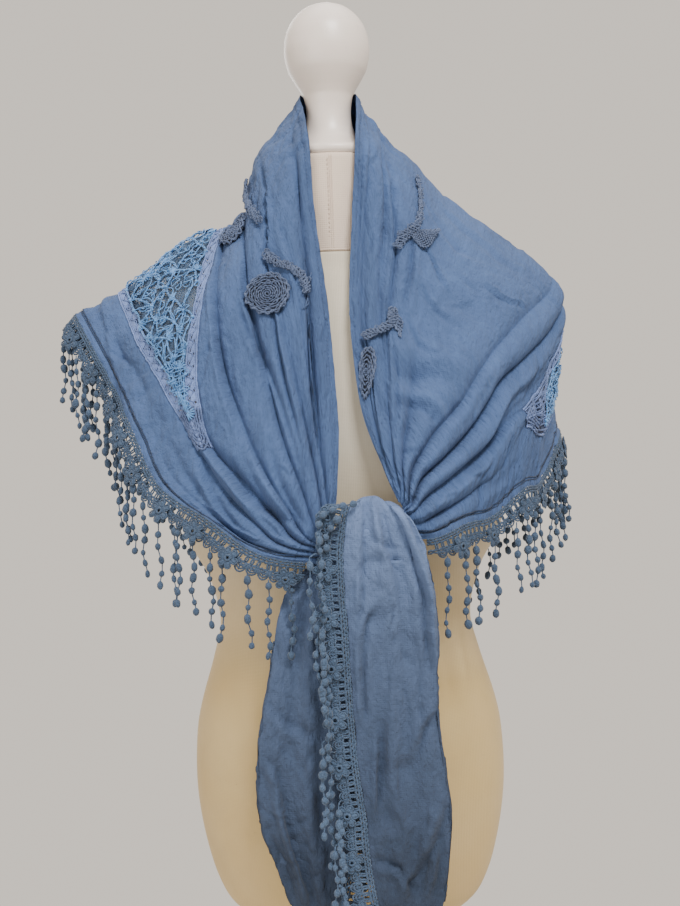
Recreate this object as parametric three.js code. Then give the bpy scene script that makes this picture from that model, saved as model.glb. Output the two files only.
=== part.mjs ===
// Triangle scarf worn round the shoulders of a limbless dress form.
// Millimetres, Z up, the wearer's front faces -Y. The origin is the floor under the form's pole.

import * as THREE from 'three';

// Cloth and lace sizes
const CLOTH_WALL = 1.6;
const HEM_WALL = 2.4;
const SEAM_GAP = 0.45;
const LEAF_TIP_GAP = 0.9;
const TRIM_GAP = 0.6;
const EDGING_WIDTH = 12;
const NET_WALL = 1.4;
const NET_RIB = 4;
const NET_MESHES_ACROSS = 3;
const NET_MESH_LENGTH = 28;

// Crochet trim sizes
const TRIM_WALL = 1.8;
const TRIM_HEADER = 7;
const TRIM_LADDER = 8;
const TRIM_SCALLOP = 9;
const SCALLOP_RISE = 2.5;
const SCALLOPS_EVERY = 2;
const LADDER_PITCH = 24;
const LADDER_BAR_SHARE = 0.42;
const LADDER_BAR_WIDEST = 9;
const STRAND_DROP = 77;
const BOBBLE_RADIUS = 3.3;
const THREAD_RADIUS = 0.8;
const STRAND_SIDES = 3;

// Raised crochet sizes
const APPLIQUE_LIFT = 0.6;
const APPLIQUE_WALL = 2.0;

// Dress form and stand sizes
const POLE_RADIUS = 15;
const POLE_TOP = 241.6;
const BASE_RADIUS = 150;
const BASE_HEIGHT = 14;
const FORM_SIDES = 22;
const BODY_SQUARENESS = 2.3;

const COLOURS = {
  cloth: 0x5f7da5,
  tail: 0x587398,
  net: 0x6aa0cf,
  edging: 0x8498c8,
  cord: 0x55698a,
  trim: 0x536f96,
  jersey: 0xd9cba8,
  canvas: 0xded3bd,
  paint: 0xcfc6ba,
  metal: 0x8d8f92,
};

// The draped cloth. "at" runs from the knot on the wearer's right (-1), up over that shoulder, round the
// back of the neck (0) and down the other side to the knot (1). Each row is one section of the cloth from
// its neck edge to its hem.
const SECTIONS = [
  { at: -1.0, neck: [-9, -146, 661], near: [-11, -150, 653], rise: [-13, -152, 646],
    crown: [-14, -152, 640], fall: [-15, -152, 633], hem: [-17, -150, 627] },
  { at: -0.875, neck: [-4, -138, 700], near: [-16, -151, 673], rise: [-29, -157, 655],
    crown: [-43, -159, 646], fall: [-59, -157, 641], hem: [-77, -152, 639] },
  { at: -0.75, neck: [-1, -120, 761], near: [-22, -140, 715], rise: [-43, -149, 685],
    crown: [-69, -150, 669], fall: [-97, -143, 663], hem: [-129, -134, 674] },
  { at: -0.625, neck: [-6, -96, 859], near: [-29, -121, 786], rise: [-60, -131, 744],
    crown: [-94, -131, 725], fall: [-132, -119, 712], hem: [-176, -102, 706] },
  { at: -0.5, neck: [-17, -62, 966], near: [-42, -88, 890], rise: [-78, -98, 832],
    crown: [-117, -98, 806], fall: [-160, -86, 784], hem: [-205, -68, 764] },
  { at: -0.375, neck: [-21, -50, 1049], near: [-64, -47, 990], rise: [-95, -62, 924],
    crown: [-139, -66, 887], fall: [-187, -52, 851], hem: [-233, -30, 820] },
  { at: -0.25, neck: [-28.5, 3, 1098], near: [-77, 22, 1044], rise: [-99, 28, 982],
    crown: [-152, 30, 956], fall: [-217, 30, 911], hem: [-267, 25, 882] },
  { at: -0.125, neck: [-20.5, 20, 1098], near: [-58, 68, 1026], rise: [-97, 102, 944],
    crown: [-128, 122, 860], fall: [-142, 129, 778], hem: [-147, 125, 698] },
  { at: 0, neck: [0, 28.6, 1098], near: [0, 78, 1020], rise: [0, 112, 920],
    crown: [0, 135, 800], fall: [0, 140, 670], hem: [0, 130, 540] },
  { at: 0.125, neck: [20.5, 20, 1098], near: [62, 68, 1026], rise: [109, 104, 950],
    crown: [153, 120, 868], fall: [170, 125, 788], hem: [178, 120, 710] },
  { at: 0.25, neck: [28.5, 3, 1098], near: [69, 22, 1052], rise: [145, 32, 979],
    crown: [232, 25, 899], fall: [224, 30, 805], hem: [228, 30, 749] },
  { at: 0.375, neck: [26, -48, 1049], near: [66, -46, 987], rise: [120, -62, 922],
    crown: [209, -35, 869], fall: [210, -38, 776], hem: [199, -52, 697] },
  { at: 0.5, neck: [20, -62, 964], near: [44, -86, 892], rise: [83, -103, 845],
    crown: [144, -98, 820], fall: [180, -80, 766], hem: [178, -84, 690] },
  { at: 0.625, neck: [14, -94, 868], near: [37, -117, 812], rise: [66, -131, 780],
    crown: [112, -128, 759], fall: [145, -112, 719], hem: [145, -108, 666] },
  { at: 0.75, neck: [22, -120, 775], near: [40, -137, 748], rise: [58, -149, 726],
    crown: [85, -149, 710], fall: [108, -138, 684], hem: [116, -130, 660] },
  { at: 0.875, neck: [41, -138, 713], near: [49, -149, 700], rise: [60, -157, 688],
    crown: [72, -158, 679], fall: [83, -155, 665], hem: [90, -148, 650] },
  { at: 1.0, neck: [52, -146, 686], near: [53, -149, 682], rise: [55, -152, 676],
    crown: [57, -154, 670], fall: [60, -154, 661], hem: [63, -150, 647] },
];
const LANES = ['neck', 'near', 'rise', 'crown', 'fall', 'hem'];

// Fold valleys. "line" gives the share of the way from neck edge to hem at each share of the way from
// the middle of the back to the knot; "depth" gives how deep the valley is there.
const RIGHT_HAND_FOLDS = [
  { fold: 'neck strip',
    line: [[0, 0.07], [0.25, 0.04], [0.375, 0.085], [0.5, 0.085], [0.625, 0.15], [1, 0.13]],
    depth: [[0, 1], [0.25, 1.5], [0.375, 2], [0.45, 6], [0.625, 11], [0.75, 9], [0.9, 3], [1, 1]] },
  { fold: 'beside rosette',
    line: [[0, 0.17], [0.25, 0.26], [0.5, 0.285], [0.625, 0.245], [0.75, 0.205], [1, 0.22]],
    depth: [[0, 2], [0.25, 2], [0.5, 3], [0.7, 7], [0.9, 3], [1, 1]] },
  { fold: 'crisp pleat', line: [[0, 0.3], [0.25, 0.375], [0.5, 0.39], [0.625, 0.37], [0.75, 0.33], [1, 0.33]],
    depth: [[0, 3], [0.25, 5], [0.5, 7], [0.75, 7], [0.9, 3], [1, 1]] },
  { fold: 'hooked pleat',
    line: [[0, 0.43], [0.25, 0.43], [0.375, 0.515], [0.5, 0.57], [0.625, 0.52], [0.75, 0.455], [1, 0.44]],
    depth: [[0, 4], [0.25, 3], [0.5, 7], [0.625, 8], [0.8, 7], [0.9, 3], [1, 1]] },
  { fold: 'leaf neck side',
    line: [[0, 0.57], [0.05, 0.665], [0.125, 0.56], [0.2, 0.48], [0.25, 0.455], [0.3125, 0.49], [0.375, 0.56],
      [0.4375, 0.635], [0.5, 0.695], [0.578, 0.735], [0.66, 0.62], [0.75, 0.54], [0.875, 0.53], [1, 0.57]],
    depth: [[0, 4], [0.2, 2], [0.5, 3], [0.625, 7], [0.8, 12], [0.9, 5], [1, 1]] },
  { fold: 'leaf hem side',
    line: [[0, 0.7], [0.05, 0.7], [0.125, 0.79], [0.2, 0.82], [0.25, 0.825], [0.375, 0.85], [0.5, 0.815],
      [0.578, 0.775], [0.66, 0.745], [0.75, 0.675], [0.875, 0.685], [1, 0.72]],
    depth: [[0, 4], [0.2, 2], [0.5, 2], [0.66, 7], [0.8, 11], [0.9, 5], [1, 1]] },
  { fold: 'hem tuck', line: [[0, 0.83], [0.25, 0.93], [0.6, 0.93], [0.75, 0.865], [0.875, 0.88], [1, 0.87]],
    depth: [[0, 4], [0.2, 2], [0.5, 1], [0.7, 3], [0.8, 7], [0.9, 4], [1, 1]] },
];
const LEFT_HAND_FOLDS = [
  { fold: 'neck roll', line: [[0, 0.07], [0.25, 0.07], [0.5, 0.08], [0.75, 0.11], [1, 0.13]],
    depth: [[0, 1], [0.25, 1.5], [0.5, 3], [0.75, 4], [0.9, 3], [1, 1]] },
  { fold: 'neck pleat',
    line: [[0, 0.17], [0.25, 0.15], [0.375, 0.16], [0.5, 0.21], [0.625, 0.265], [0.75, 0.28], [1, 0.25]],
    depth: [[0, 2], [0.25, 2.5], [0.36, 3], [0.42, 6], [0.6, 5], [0.75, 4], [0.9, 3], [1, 1]] },
  { fold: 'pocket',
    line: [[0, 0.3], [0.25, 0.34], [0.5, 0.4], [0.66, 0.42], [0.75, 0.4], [0.875, 0.34], [1, 0.34]],
    depth: [[0, 3], [0.25, 3], [0.5, 3], [0.66, 8], [0.78, 5], [0.9, 3], [1, 1]] },
  { fold: 'above roll',
    line: [[0, 0.43], [0.25, 0.56], [0.5, 0.6], [0.625, 0.54], [0.75, 0.49], [0.875, 0.41], [1, 0.42]],
    depth: [[0, 4], [0.25, 2], [0.5, 3], [0.625, 6], [0.78, 8], [0.9, 4], [1, 1]] },
  { fold: 'below roll',
    line: [[0, 0.57], [0.25, 0.635], [0.375, 0.665], [0.5, 0.695], [0.625, 0.655], [0.75, 0.575],
      [0.875, 0.5], [1, 0.52]],
    depth: [[0, 4], [0.25, 3], [0.375, 8], [0.6, 12], [0.8, 10], [0.9, 4], [1, 1]] },
  { fold: 'leaf neck side',
    line: [[0, 0.7], [0.05, 0.765], [0.125, 0.69], [0.25, 0.69], [0.3125, 0.7], [0.375, 0.74],
      [0.4375, 0.78], [0.484, 0.812], [0.56, 0.785], [0.625, 0.765], [0.75, 0.71], [0.875, 0.6], [1, 0.63]],
    depth: [[0, 4], [0.2, 2], [0.4, 2], [0.5, 6], [0.7, 8], [0.85, 8], [0.9, 4], [1, 1]] },
  { fold: 'leaf hem side',
    line: [[0, 0.83], [0.05, 0.8], [0.125, 0.875], [0.25, 0.89], [0.375, 0.885], [0.4375, 0.875],
      [0.484, 0.848], [0.6, 0.88], [0.75, 0.85], [0.875, 0.8], [1, 0.82]],
    depth: [[0, 4], [0.2, 2], [0.5, 2], [0.7, 5], [0.8, 8], [0.9, 4], [1, 1]] },
];
// Which pair of valleys bounds each leaf-shaped lace inset, and where the leaf starts and ends.
const LEAVES = {
  right_hand: { side: -1, between: [5, 6], starts: 0.05, ends: 0.578 },
  left_hand: { side: 1, between: [6, 7], starts: 0.05, ends: 0.484 },
};
const CREST = 0.25;
// Sections from the knot to the shoulder crest, and from crest to crest round the back.
const FRONT_PLACES = [0.992, 0.95, 0.905, 0.86, 0.815, 0.77, 0.725, 0.677, 0.628, 0.578, 0.532, 0.484, 0.43,
  0.37, 0.31];
const BACK_PLACES = [0.25, 0.2, 0.15, 0.1, 0.05];
const CELLS_PER_FOLD = [2, 3, 4, 4, 4, 3, 3, 2];

// Raised crochet on the cloth: "at" and "across" as in the cloth's own sections. Rosettes have half sizes up
// and across, and each vine's "lift" is how far it stands off the folds that it bridges.
const ROSETTES = [
  { name: 'rosette_right_large', across: 0.301, at: -0.464, tall: 21.5, wide: 22.5 },
  { name: 'rosette_right_small', across: 0.405, at: -0.316, tall: 19.5, wide: 18.5 },
  { name: 'rosette_left', across: 0.118, at: 0.667, tall: 25, wide: 7.5 },
];
const VINES = [
  { name: 'vine_right_upper', lift: 0.5, wide: 8,
    path: [[0.273, -0.27], [0.298, -0.293], [0.29, -0.335], [0.257, -0.391]] },
  { name: 'vine_right_lower', lift: 0.1, wide: 8,
    path: [[0.274, -0.425], [0.24, -0.45], [0.176, -0.485], [0.124, -0.521], [0.118, -0.54]] },
  { name: 'vine_left_upper', lift: 0.6, wide: 8,
    path: [[0.26, 0.31], [0.277, 0.346], [0.285, 0.38], [0.272, 0.399], [0.246, 0.423], [0.238, 0.438]] },
  { name: 'vine_left_lower', lift: 0.5, wide: 9,
    path: [[0.272, 0.507], [0.282, 0.523], [0.252, 0.545], [0.18, 0.581], [0.11, 0.619]] },
  { name: 'leaf_left', lift: -0.5, wide: 14, path: [[0.306, 0.398], [0.322, 0.383], [0.343, 0.362]] },
];

// The two hanging ends. Each row is one level: outer face from edge to edge, how far its face bows out,
// and the depth of the layer folded behind it (0 where there is none).
const FRONT_TAIL = [
  { edge: 16, fold: 44, y: -131, z: 664, bow: 0 },
  { edge: 14, fold: 44, y: -132, z: 677, bow: 0 },
  { edge: 12, fold: 44, y: -140, z: 687, bow: 0 },
  { edge: 11, fold: 45, y: -152, z: 690, bow: 0 },
  { edge: 8, fold: 50, y: -163, z: 686, bow: 0 },
  { edge: 4, fold: 60, y: -168, z: 672, bow: 1 },
  { edge: 1, fold: 71, y: -168.5, z: 650, bow: 3 },
  { edge: -1, fold: 77, y: -168, z: 630, bow: 4 },
  { edge: 0, fold: 82, y: -166, z: 593, bow: 5 },
  { edge: 2, fold: 84, y: -163, z: 556, bow: 5 },
  { edge: 3, fold: 82, y: -161, z: 510, bow: 6 },
  { edge: 5, fold: 84, y: -159, z: 466, bow: 6 },
  { edge: 8, fold: 88, y: -157, z: 428, bow: 6 },
  { edge: 13, fold: 92, y: -156, z: 391, bow: 6 },
  { edge: 15, fold: 89, y: -155, z: 356, bow: 5 },
  { edge: 21, fold: 83, y: -155, z: 314, bow: 4 },
  { edge: 30, fold: 66, y: -155, z: 265, bow: 2 },
  { edge: 38, fold: 50, y: -155, z: 222, bow: 0 },
];
const BACK_TAIL = [
  { edge: 14, fold: -16, y: -136.5, z: 652, bow: 0 },
  { edge: 10, fold: -24, y: -136.6, z: 634, bow: 0 },
  { edge: 4, fold: -50, y: -138, z: 609, bow: 1 },
  { edge: 2, fold: -60, y: -140, z: 590, bow: 3 },
  { edge: 2, fold: -68, y: -142, z: 556, bow: 4 },
  { edge: 3, fold: -75, y: -142, z: 511, bow: 5 },
  { edge: 4, fold: -85, y: -141, z: 455, bow: 6 },
  { edge: 3, fold: -87, y: -140, z: 409, bow: 6 },
  { edge: 1, fold: -84, y: -139, z: 381, bow: 6 },
  { edge: -4, fold: -72, y: -138, z: 343, bow: 5 },
  { edge: -12, fold: -60, y: -138, z: 310, bow: 4 },
  { edge: -22, fold: -50, y: -138, z: 260, bow: 2 },
  { edge: -31, fold: -42, y: -138, z: 216, bow: 0 },
];
// Soft pleats that run down each hanging end, as shares of its width.
const TAIL_PLEATS = [
  { across: 0.3, depth: 4, width: 0.1 },
  { across: 0.62, depth: 6, width: 0.12 },
];

// The knot: a tight wad of both ends, one row per section along its length.
const KNOT = [
  { centre: [-13.1, -150, 645], high: 12, deep: 8, lean: 0.235 },
  { centre: [-4, -150.5, 649], high: 18, deep: 12, lean: 0.15 },
  { centre: [11, -151, 654], high: 22, deep: 14.6 },
  { centre: [25, -151.5, 659], high: 23, deep: 15 },
  { centre: [38, -151.5, 664], high: 20, deep: 14.6 },
  { centre: [48, -151, 667], high: 17, deep: 12, lean: -0.15 },
  { centre: [56.8, -151, 668], high: 12, deep: 7, lean: -0.28 },
];
const KNOT_SIDES = 16;
const KNOT_GROOVE = 1.2;

// The form's painted ball finial, from its foot to its top.
const FINIAL = [[50, 1030.4], [52, 1034], [50.5, 1039], [41, 1044.5], [30.5, 1052], [25, 1063], [23, 1078],
  [24.7, 1093.6], [27.6, 1101], [32.4, 1109], [36.6, 1116], [40.8, 1124.5], [43.6, 1137],
  [43.9, 1148.2], [41.2, 1163], [34, 1176], [22.7, 1186.3], [9, 1191.8]];
// The neck block, from its foot to its top: radius and level.
const NECK = [[54, 930.4], [52.5, 950], [52, 1026], [50, 1030]];
// The padded torso: level, half width, front depth and back depth.
const TORSO = [
  { z: 242, half: 22, front: 22, back: 22 },
  { z: 250, half: 78, front: 48, back: 48 },
  { z: 272, half: 119, front: 72, back: 73 },
  { z: 300, half: 138, front: 86, back: 90 },
  { z: 345, half: 151, front: 98, back: 103 },
  { z: 395, half: 158, front: 104, back: 110 },
  { z: 445, half: 157, front: 103, back: 109 },
  { z: 480, half: 151, front: 99, back: 101 },
  { z: 530, half: 136, front: 90, back: 86 },
  { z: 566, half: 129, front: 87, back: 78 },
  { z: 610, half: 140, front: 92, back: 80 },
  { z: 650, half: 162, front: 98, back: 84 },
  { z: 690, half: 168, front: 101, back: 88 },
  { z: 745, half: 168, front: 101, back: 92 },
  { z: 800, half: 176, front: 94, back: 95 },
  { z: 850, half: 183, front: 84, back: 90 },
  { z: 880, half: 182, front: 76, back: 82 },
  { z: 902, half: 165, front: 68, back: 74 },
  { z: 918, half: 130, front: 60, back: 66 },
  { z: 930, half: 84, front: 56, back: 60 },
];
const BUST = [
  { x: -76, z: 720, rise: 8, spread: 58 },
  { x: 76, z: 720, rise: 8, spread: 58 },
];

const group = new THREE.Group();
group.name = 'triangle_scarf_on_form';

function addMesh(name, geometry, colour, roughness, metalness = 0) {
  const material = new THREE.MeshStandardMaterial({ color: colour, roughness, metalness });
  material.name = `${name}_finish`;
  geometry.computeVertexNormals();
  const mesh = new THREE.Mesh(geometry, material);
  mesh.name = name;
  group.add(mesh);
}

function add(a, b, k = 1) {
  return [a[0] + b[0] * k, a[1] + b[1] * k, a[2] + b[2] * k];
}

function mix(a, b, t) {
  return [a[0] + (b[0] - a[0]) * t, a[1] + (b[1] - a[1]) * t, a[2] + (b[2] - a[2]) * t];
}

function dot(a, b) {
  return a[0] * b[0] + a[1] * b[1] + a[2] * b[2];
}

function cross(a, b) {
  return [a[1] * b[2] - a[2] * b[1], a[2] * b[0] - a[0] * b[2], a[0] * b[1] - a[1] * b[0]];
}

function unit(a) {
  const size = Math.hypot(...a) || 1;
  return [a[0] / size, a[1] / size, a[2] / size];
}

function distance(a, b) {
  return Math.hypot(a[0] - b[0], a[1] - b[1], a[2] - b[2]);
}

// Smooth curve through a list of points; t counts points from the first.
function spline(points, t) {
  const last = points.length - 1;
  const i = Math.min(Math.max(Math.floor(t), 0), last - 1);
  const f = t - i;
  const b = points[i];
  const c = points[i + 1];
  const a = i > 0 ? points[i - 1] : add(b, add(b, c, -1));
  const d = i + 2 <= last ? points[i + 2] : add(c, add(c, b, -1));
  return b.map((_, k) => 0.5 * (2 * b[k] + (c[k] - a[k]) * f
    + (2 * a[k] - 5 * b[k] + 4 * c[k] - d[k]) * f * f
    + (3 * b[k] - a[k] - 3 * c[k] + d[k]) * f * f * f));
}

// Straight-line reading of a [place, value] table.
function reading(table, place) {
  if (place <= table[0][0]) return table[0][1];
  for (let i = 1; i < table.length; i += 1) {
    if (place <= table[i][0]) {
      const f = (place - table[i - 1][0]) / (table[i][0] - table[i - 1][0]);
      return table[i - 1][1] + (table[i][1] - table[i - 1][1]) * f;
    }
  }
  return table[table.length - 1][1];
}

function foldLines(at) {
  const folds = at < 0 ? RIGHT_HAND_FOLDS : LEFT_HAND_FOLDS;
  const along = Math.abs(at);
  return [
    { across: 0, depth: 0 },
    ...folds.map((fold) => ({ across: reading(fold.line, along), depth: reading(fold.depth, along) })),
    { across: 1, depth: 0 },
  ];
}

function smoothSheet(across, at) {
  const place = ((at + 1) / 2) * (SECTIONS.length - 1);
  const lanes = LANES.map((lane) => spline(SECTIONS.map((row) => row[lane]), place));
  return spline(lanes, across * (LANES.length - 1));
}

function sheetNormal(across, at) {
  const step = 0.004;
  const a = Math.min(Math.max(across, step), 1 - step);
  const w = Math.min(Math.max(at, -1 + step), 1 - step);
  const acrossWay = add(smoothSheet(a + step, w), smoothSheet(a - step, w), -1);
  const alongWay = add(smoothSheet(a, w + step), smoothSheet(a, w - step), -1);
  return unit(cross(alongWay, acrossWay));
}

// Ridges stay on the smooth sheet and valleys sink below it by the fold's depth.
function foldedPoint(lines, k, share, at) {
  const from = lines[k];
  const to = lines[k + 1];
  const across = from.across + (to.across - from.across) * share;
  const depth = from.depth + (to.depth - from.depth) * share;
  const sink = depth * (1 - Math.abs(Math.sin(Math.PI * share)) ** 0.9);
  const normal = sheetNormal(across, at);
  return { across, point: add(smoothSheet(across, at), normal, -sink) };
}

// The whole cloth as one grid of points, row by row from knot to knot.
const oneSide = [...FRONT_PLACES, ...BACK_PLACES];
const rowPlaces = [...oneSide.map((at) => -at), 0, ...oneSide.slice().reverse()];
const rightCrestRow = rowPlaces.indexOf(-CREST);
const leftCrestRow = rowPlaces.indexOf(CREST);

function clothRow(at) {
  const lines = foldLines(at);
  const row = [];
  CELLS_PER_FOLD.forEach((cells, k) => {
    for (let i = 0; i < cells; i += 1) row.push(foldedPoint(lines, k, i / cells, at));
  });
  row.push(foldedPoint(lines, lines.length - 2, 1, at));
  return row;
}

const cloth = rowPlaces.map((at) => clothRow(at));
const COLUMNS = cloth[0].length;

cloth.forEach((row, r) => {
  row.forEach((cell, c) => {
    const before = cloth[Math.max(r - 1, 0)][c].point;
    const after = cloth[Math.min(r + 1, cloth.length - 1)][c].point;
    const inner = row[Math.max(c - 1, 0)].point;
    const outer = row[Math.min(c + 1, COLUMNS - 1)].point;
    cell.normal = unit(cross(add(after, before, -1), add(outer, inner, -1)));
  });
});

function columnOfFold(k) {
  return CELLS_PER_FOLD.slice(0, k).reduce((sum, cells) => sum + cells, 0);
}

// A point lying "lift" above the cloth, read from the cloth's own grid.
function onCloth(across, at, lift) {
  let r = 0;
  while (r < rowPlaces.length - 2 && rowPlaces[r + 1] < at) r += 1;
  const f = (at - rowPlaces[r]) / (rowPlaces[r + 1] - rowPlaces[r]);
  const placeOf = (c) => cloth[r][c].across * (1 - f) + cloth[r + 1][c].across * f;
  let c = 0;
  while (c < COLUMNS - 2 && placeOf(c + 1) < across) c += 1;
  const g = (across - placeOf(c)) / (placeOf(c + 1) - placeOf(c));
  const [a, b, d, e] = [cloth[r][c], cloth[r + 1][c], cloth[r + 1][c + 1], cloth[r][c + 1]];
  const blend = (key) => (f >= g
    ? add(add(a[key], add(b[key], a[key], -1), f), add(d[key], b[key], -1), g)
    : add(add(a[key], add(e[key], a[key], -1), g), add(d[key], e[key], -1), f));
  const normal = unit(blend('normal'));
  return { point: add(blend('point'), normal, lift), normal };
}

// Closed wall from a grid of { point, normal, wall } and a mask that says which cells are there. A strand
// may grow out of the last column's rim at some rows, in place of that stretch of rim.
function wallGeometry(grid, present, strands = new Map()) {
  const rows = grid.length;
  const columns = grid[0].length;
  const positions = [];
  const outerIndex = [];
  const innerIndex = [];
  grid.forEach((row) => row.forEach((cell) => {
    outerIndex.push(positions.length / 3);
    positions.push(...cell.point);
    innerIndex.push(positions.length / 3);
    positions.push(...add(cell.point, cell.normal, -cell.wall));
  }));
  const has = (r, c) => r >= 0 && c >= 0 && r < rows - 1 && c < columns - 1 && present(r, c);
  const faces = [];
  const quad = (a, b, c, d) => faces.push(a, b, c, a, c, d);
  const out = (r, c) => outerIndex[r * columns + c];
  const inn = (r, c) => innerIndex[r * columns + c];
  for (let r = 0; r < rows - 1; r += 1) {
    for (let c = 0; c < columns - 1; c += 1) {
      if (!has(r, c)) continue;
      quad(out(r, c), out(r + 1, c), out(r + 1, c + 1), out(r, c + 1));
      quad(inn(r, c), inn(r, c + 1), inn(r + 1, c + 1), inn(r + 1, c));
      if (!has(r - 1, c)) quad(out(r, c), out(r, c + 1), inn(r, c + 1), inn(r, c));
      if (!has(r + 1, c)) quad(out(r + 1, c + 1), out(r + 1, c), inn(r + 1, c), inn(r + 1, c + 1));
      if (!has(r, c - 1)) quad(out(r + 1, c), out(r, c), inn(r, c), inn(r + 1, c));
      if (has(r, c + 1)) continue;
      const rim = [out(r, c + 1), out(r + 1, c + 1), inn(r + 1, c + 1), inn(r, c + 1)];
      if (c === columns - 2 && strands.has(r)) growStrand(positions, faces, rim, strands.get(r));
      else quad(...rim);
    }
  }
  return packed(positions, faces);
}

// A string of bobbles: thick and thin rings in turn down a hanging line, joined to a rim at its top.
function growStrand(positions, faces, rim, { hook, drop, bobbles, lead }) {
  const at = (i) => positions.slice(i * 3, i * 3 + 3);
  const pitch = (drop - BOBBLE_RADIUS) / bobbles;
  const stops = lead ? [{ point: hook, radius: THREAD_RADIUS, way: unit(add(lead, [0, 0, -1])) }] : [];
  for (let i = 0; i < bobbles; i += 1) {
    stops.push({ point: add(hook, [0, 0, -pitch * (i + 0.8)]), radius: BOBBLE_RADIUS, way: [0, 0, -1] });
    if (i < bobbles - 1) {
      stops.push({ point: add(hook, [0, 0, -pitch * (i + 1.3)]), radius: THREAD_RADIUS, way: [0, 0, -1] });
    }
  }
  const rings = stops.map(({ point, radius, way }) => {
    const side = unit(cross(way, Math.abs(way[1]) > 0.9 ? [1, 0, 0] : [0, 1, 0]));
    const other = cross(way, side);
    const ring = [];
    for (let i = 0; i < STRAND_SIDES; i += 1) {
      const angle = (i / STRAND_SIDES) * 2 * Math.PI;
      ring.push(positions.length / 3);
      positions.push(...add(add(point, side, radius * Math.cos(angle)), other, radius * Math.sin(angle)));
    }
    return ring;
  });
  joinLoops(faces, rim, rings[0], at);
  for (let k = 0; k < rings.length - 1; k += 1) {
    for (let i = 0; i < STRAND_SIDES; i += 1) {
      const next = (i + 1) % STRAND_SIDES;
      faces.push(rings[k][i], rings[k][next], rings[k + 1][next]);
      faces.push(rings[k][i], rings[k + 1][next], rings[k + 1][i]);
    }
  }
  const tip = positions.length / 3;
  positions.push(...add(hook, [0, 0, -drop]));
  const last = rings[rings.length - 1];
  for (let i = 0; i < STRAND_SIDES; i += 1) faces.push(last[i], last[(i + 1) % STRAND_SIDES], tip);
}

// Triangles between two loops that turn the same way, taken evenly from both.
function joinLoops(faces, first, second, at) {
  let start = 0;
  second.forEach((_, j) => {
    if (distance(at(first[0]), at(second[j])) < distance(at(first[0]), at(second[start]))) start = j;
  });
  let i = 0;
  let j = 0;
  const a = (k) => first[k % first.length];
  const b = (k) => second[(start + k) % second.length];
  while (i < first.length || j < second.length) {
    if (j === second.length || (i + 1) / first.length <= (j + 1) / second.length) {
      faces.push(a(i), a(i + 1), b(j));
      i += 1;
    } else {
      faces.push(a(i), b(j + 1), b(j));
      j += 1;
    }
  }
}

function packed(positions, faces) {
  const used = [...new Set(faces)].sort((a, b) => a - b);
  const renumber = new Map(used.map((old, i) => [old, i]));
  const kept = used.flatMap((i) => positions.slice(i * 3, i * 3 + 3));
  const geometry = new THREE.BufferGeometry();
  geometry.setAttribute('position', new THREE.Float32BufferAttribute(kept, 3));
  geometry.setIndex(faces.map((i) => renumber.get(i)));
  return geometry;
}

// Pull one line of cells back from its neighbour to leave a seam.
function pulled(cell, toward, gap) {
  const share = gap / distance(cell.point, toward.point);
  return { ...cell, point: mix(cell.point, toward.point, share) };
}

function leafAt(r, c) {
  const from = rowPlaces[r];
  const to = rowPlaces[r + 1];
  return Object.values(LEAVES).some((leaf) => {
    const [near, far] = leaf.between;
    const low = Math.min(from * leaf.side, to * leaf.side);
    const high = Math.max(from * leaf.side, to * leaf.side);
    return c >= columnOfFold(near) && c < columnOfFold(far)
      && low > leaf.starts - 0.01 && high < leaf.ends + 0.01;
  });
}

function clothPiece(name, firstRow, lastRow, pullEnds) {
  const rows = [];
  for (let r = firstRow; r <= lastRow; r += 1) {
    rows.push(cloth[r].map((cell, c) => ({ ...cell, wall: c === 0 ? HEM_WALL : CLOTH_WALL })));
  }
  if (pullEnds) {
    const end = rows.length - 1;
    rows[0] = rows[0].map((cell, c) => pulled(cell, rows[1][c], SEAM_GAP));
    rows[end] = rows[end].map((cell, c) => pulled(cell, rows[end - 1][c], SEAM_GAP));
  }
  addMesh(name, wallGeometry(rows, (r, c) => !leafAt(r + firstRow, c)), COLOURS.cloth, 0.9);
}

clothPiece('cloth_right_front', 0, rightCrestRow, false);
clothPiece('cloth_back', rightCrestRow, leftCrestRow, true);
clothPiece('cloth_left_front', leftCrestRow, rowPlaces.length - 1, false);

// Leaf insets: a plain edging all round and a cut net inside it
function leafRows(leaf) {
  return rowPlaces
    .map((at, r) => ({ at, r }))
    .filter((row) => row.at * leaf.side > leaf.starts - 0.01 && row.at * leaf.side < leaf.ends + 0.01)
    .map((row) => row.r);
}

function leafEdges(leaf, r) {
  const from = cloth[r][columnOfFold(leaf.between[0])];
  const to = cloth[r][columnOfFold(leaf.between[1])];
  const width = distance(from.point, to.point);
  return { from: from.across, to: to.across, width, band: Math.min(EDGING_WIDTH / width, 0.34) };
}

function leafCell(leaf, r, share, wall) {
  const edges = leafEdges(leaf, r);
  const across = edges.from + (edges.to - edges.from) * share;
  return { ...onCloth(across, rowPlaces[r], 0), wall };
}

function buildEdging(name, leaf) {
  const rows = leafRows(leaf).map((r) => {
    const edges = leafEdges(leaf, r);
    const gap = SEAM_GAP / edges.width;
    const shares = [gap, edges.band / 2, edges.band, 0.5, 1 - edges.band, 1 - edges.band / 2, 1 - gap];
    return shares.map((share) => leafCell(leaf, r, share, CLOTH_WALL));
  });
  const end = rows.length - 1;
  rows[0] = rows[0].map((cell, c) => pulled(cell, rows[1][c], LEAF_TIP_GAP));
  rows[end] = rows[end].map((cell, c) => pulled(cell, rows[end - 1][c], LEAF_TIP_GAP));
  const present = (r, c) => c < 2 || c > 3 || r === 0 || r === end - 1;
  addMesh(name, wallGeometry(rows, present), COLOURS.edging, 0.85);
}

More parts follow.
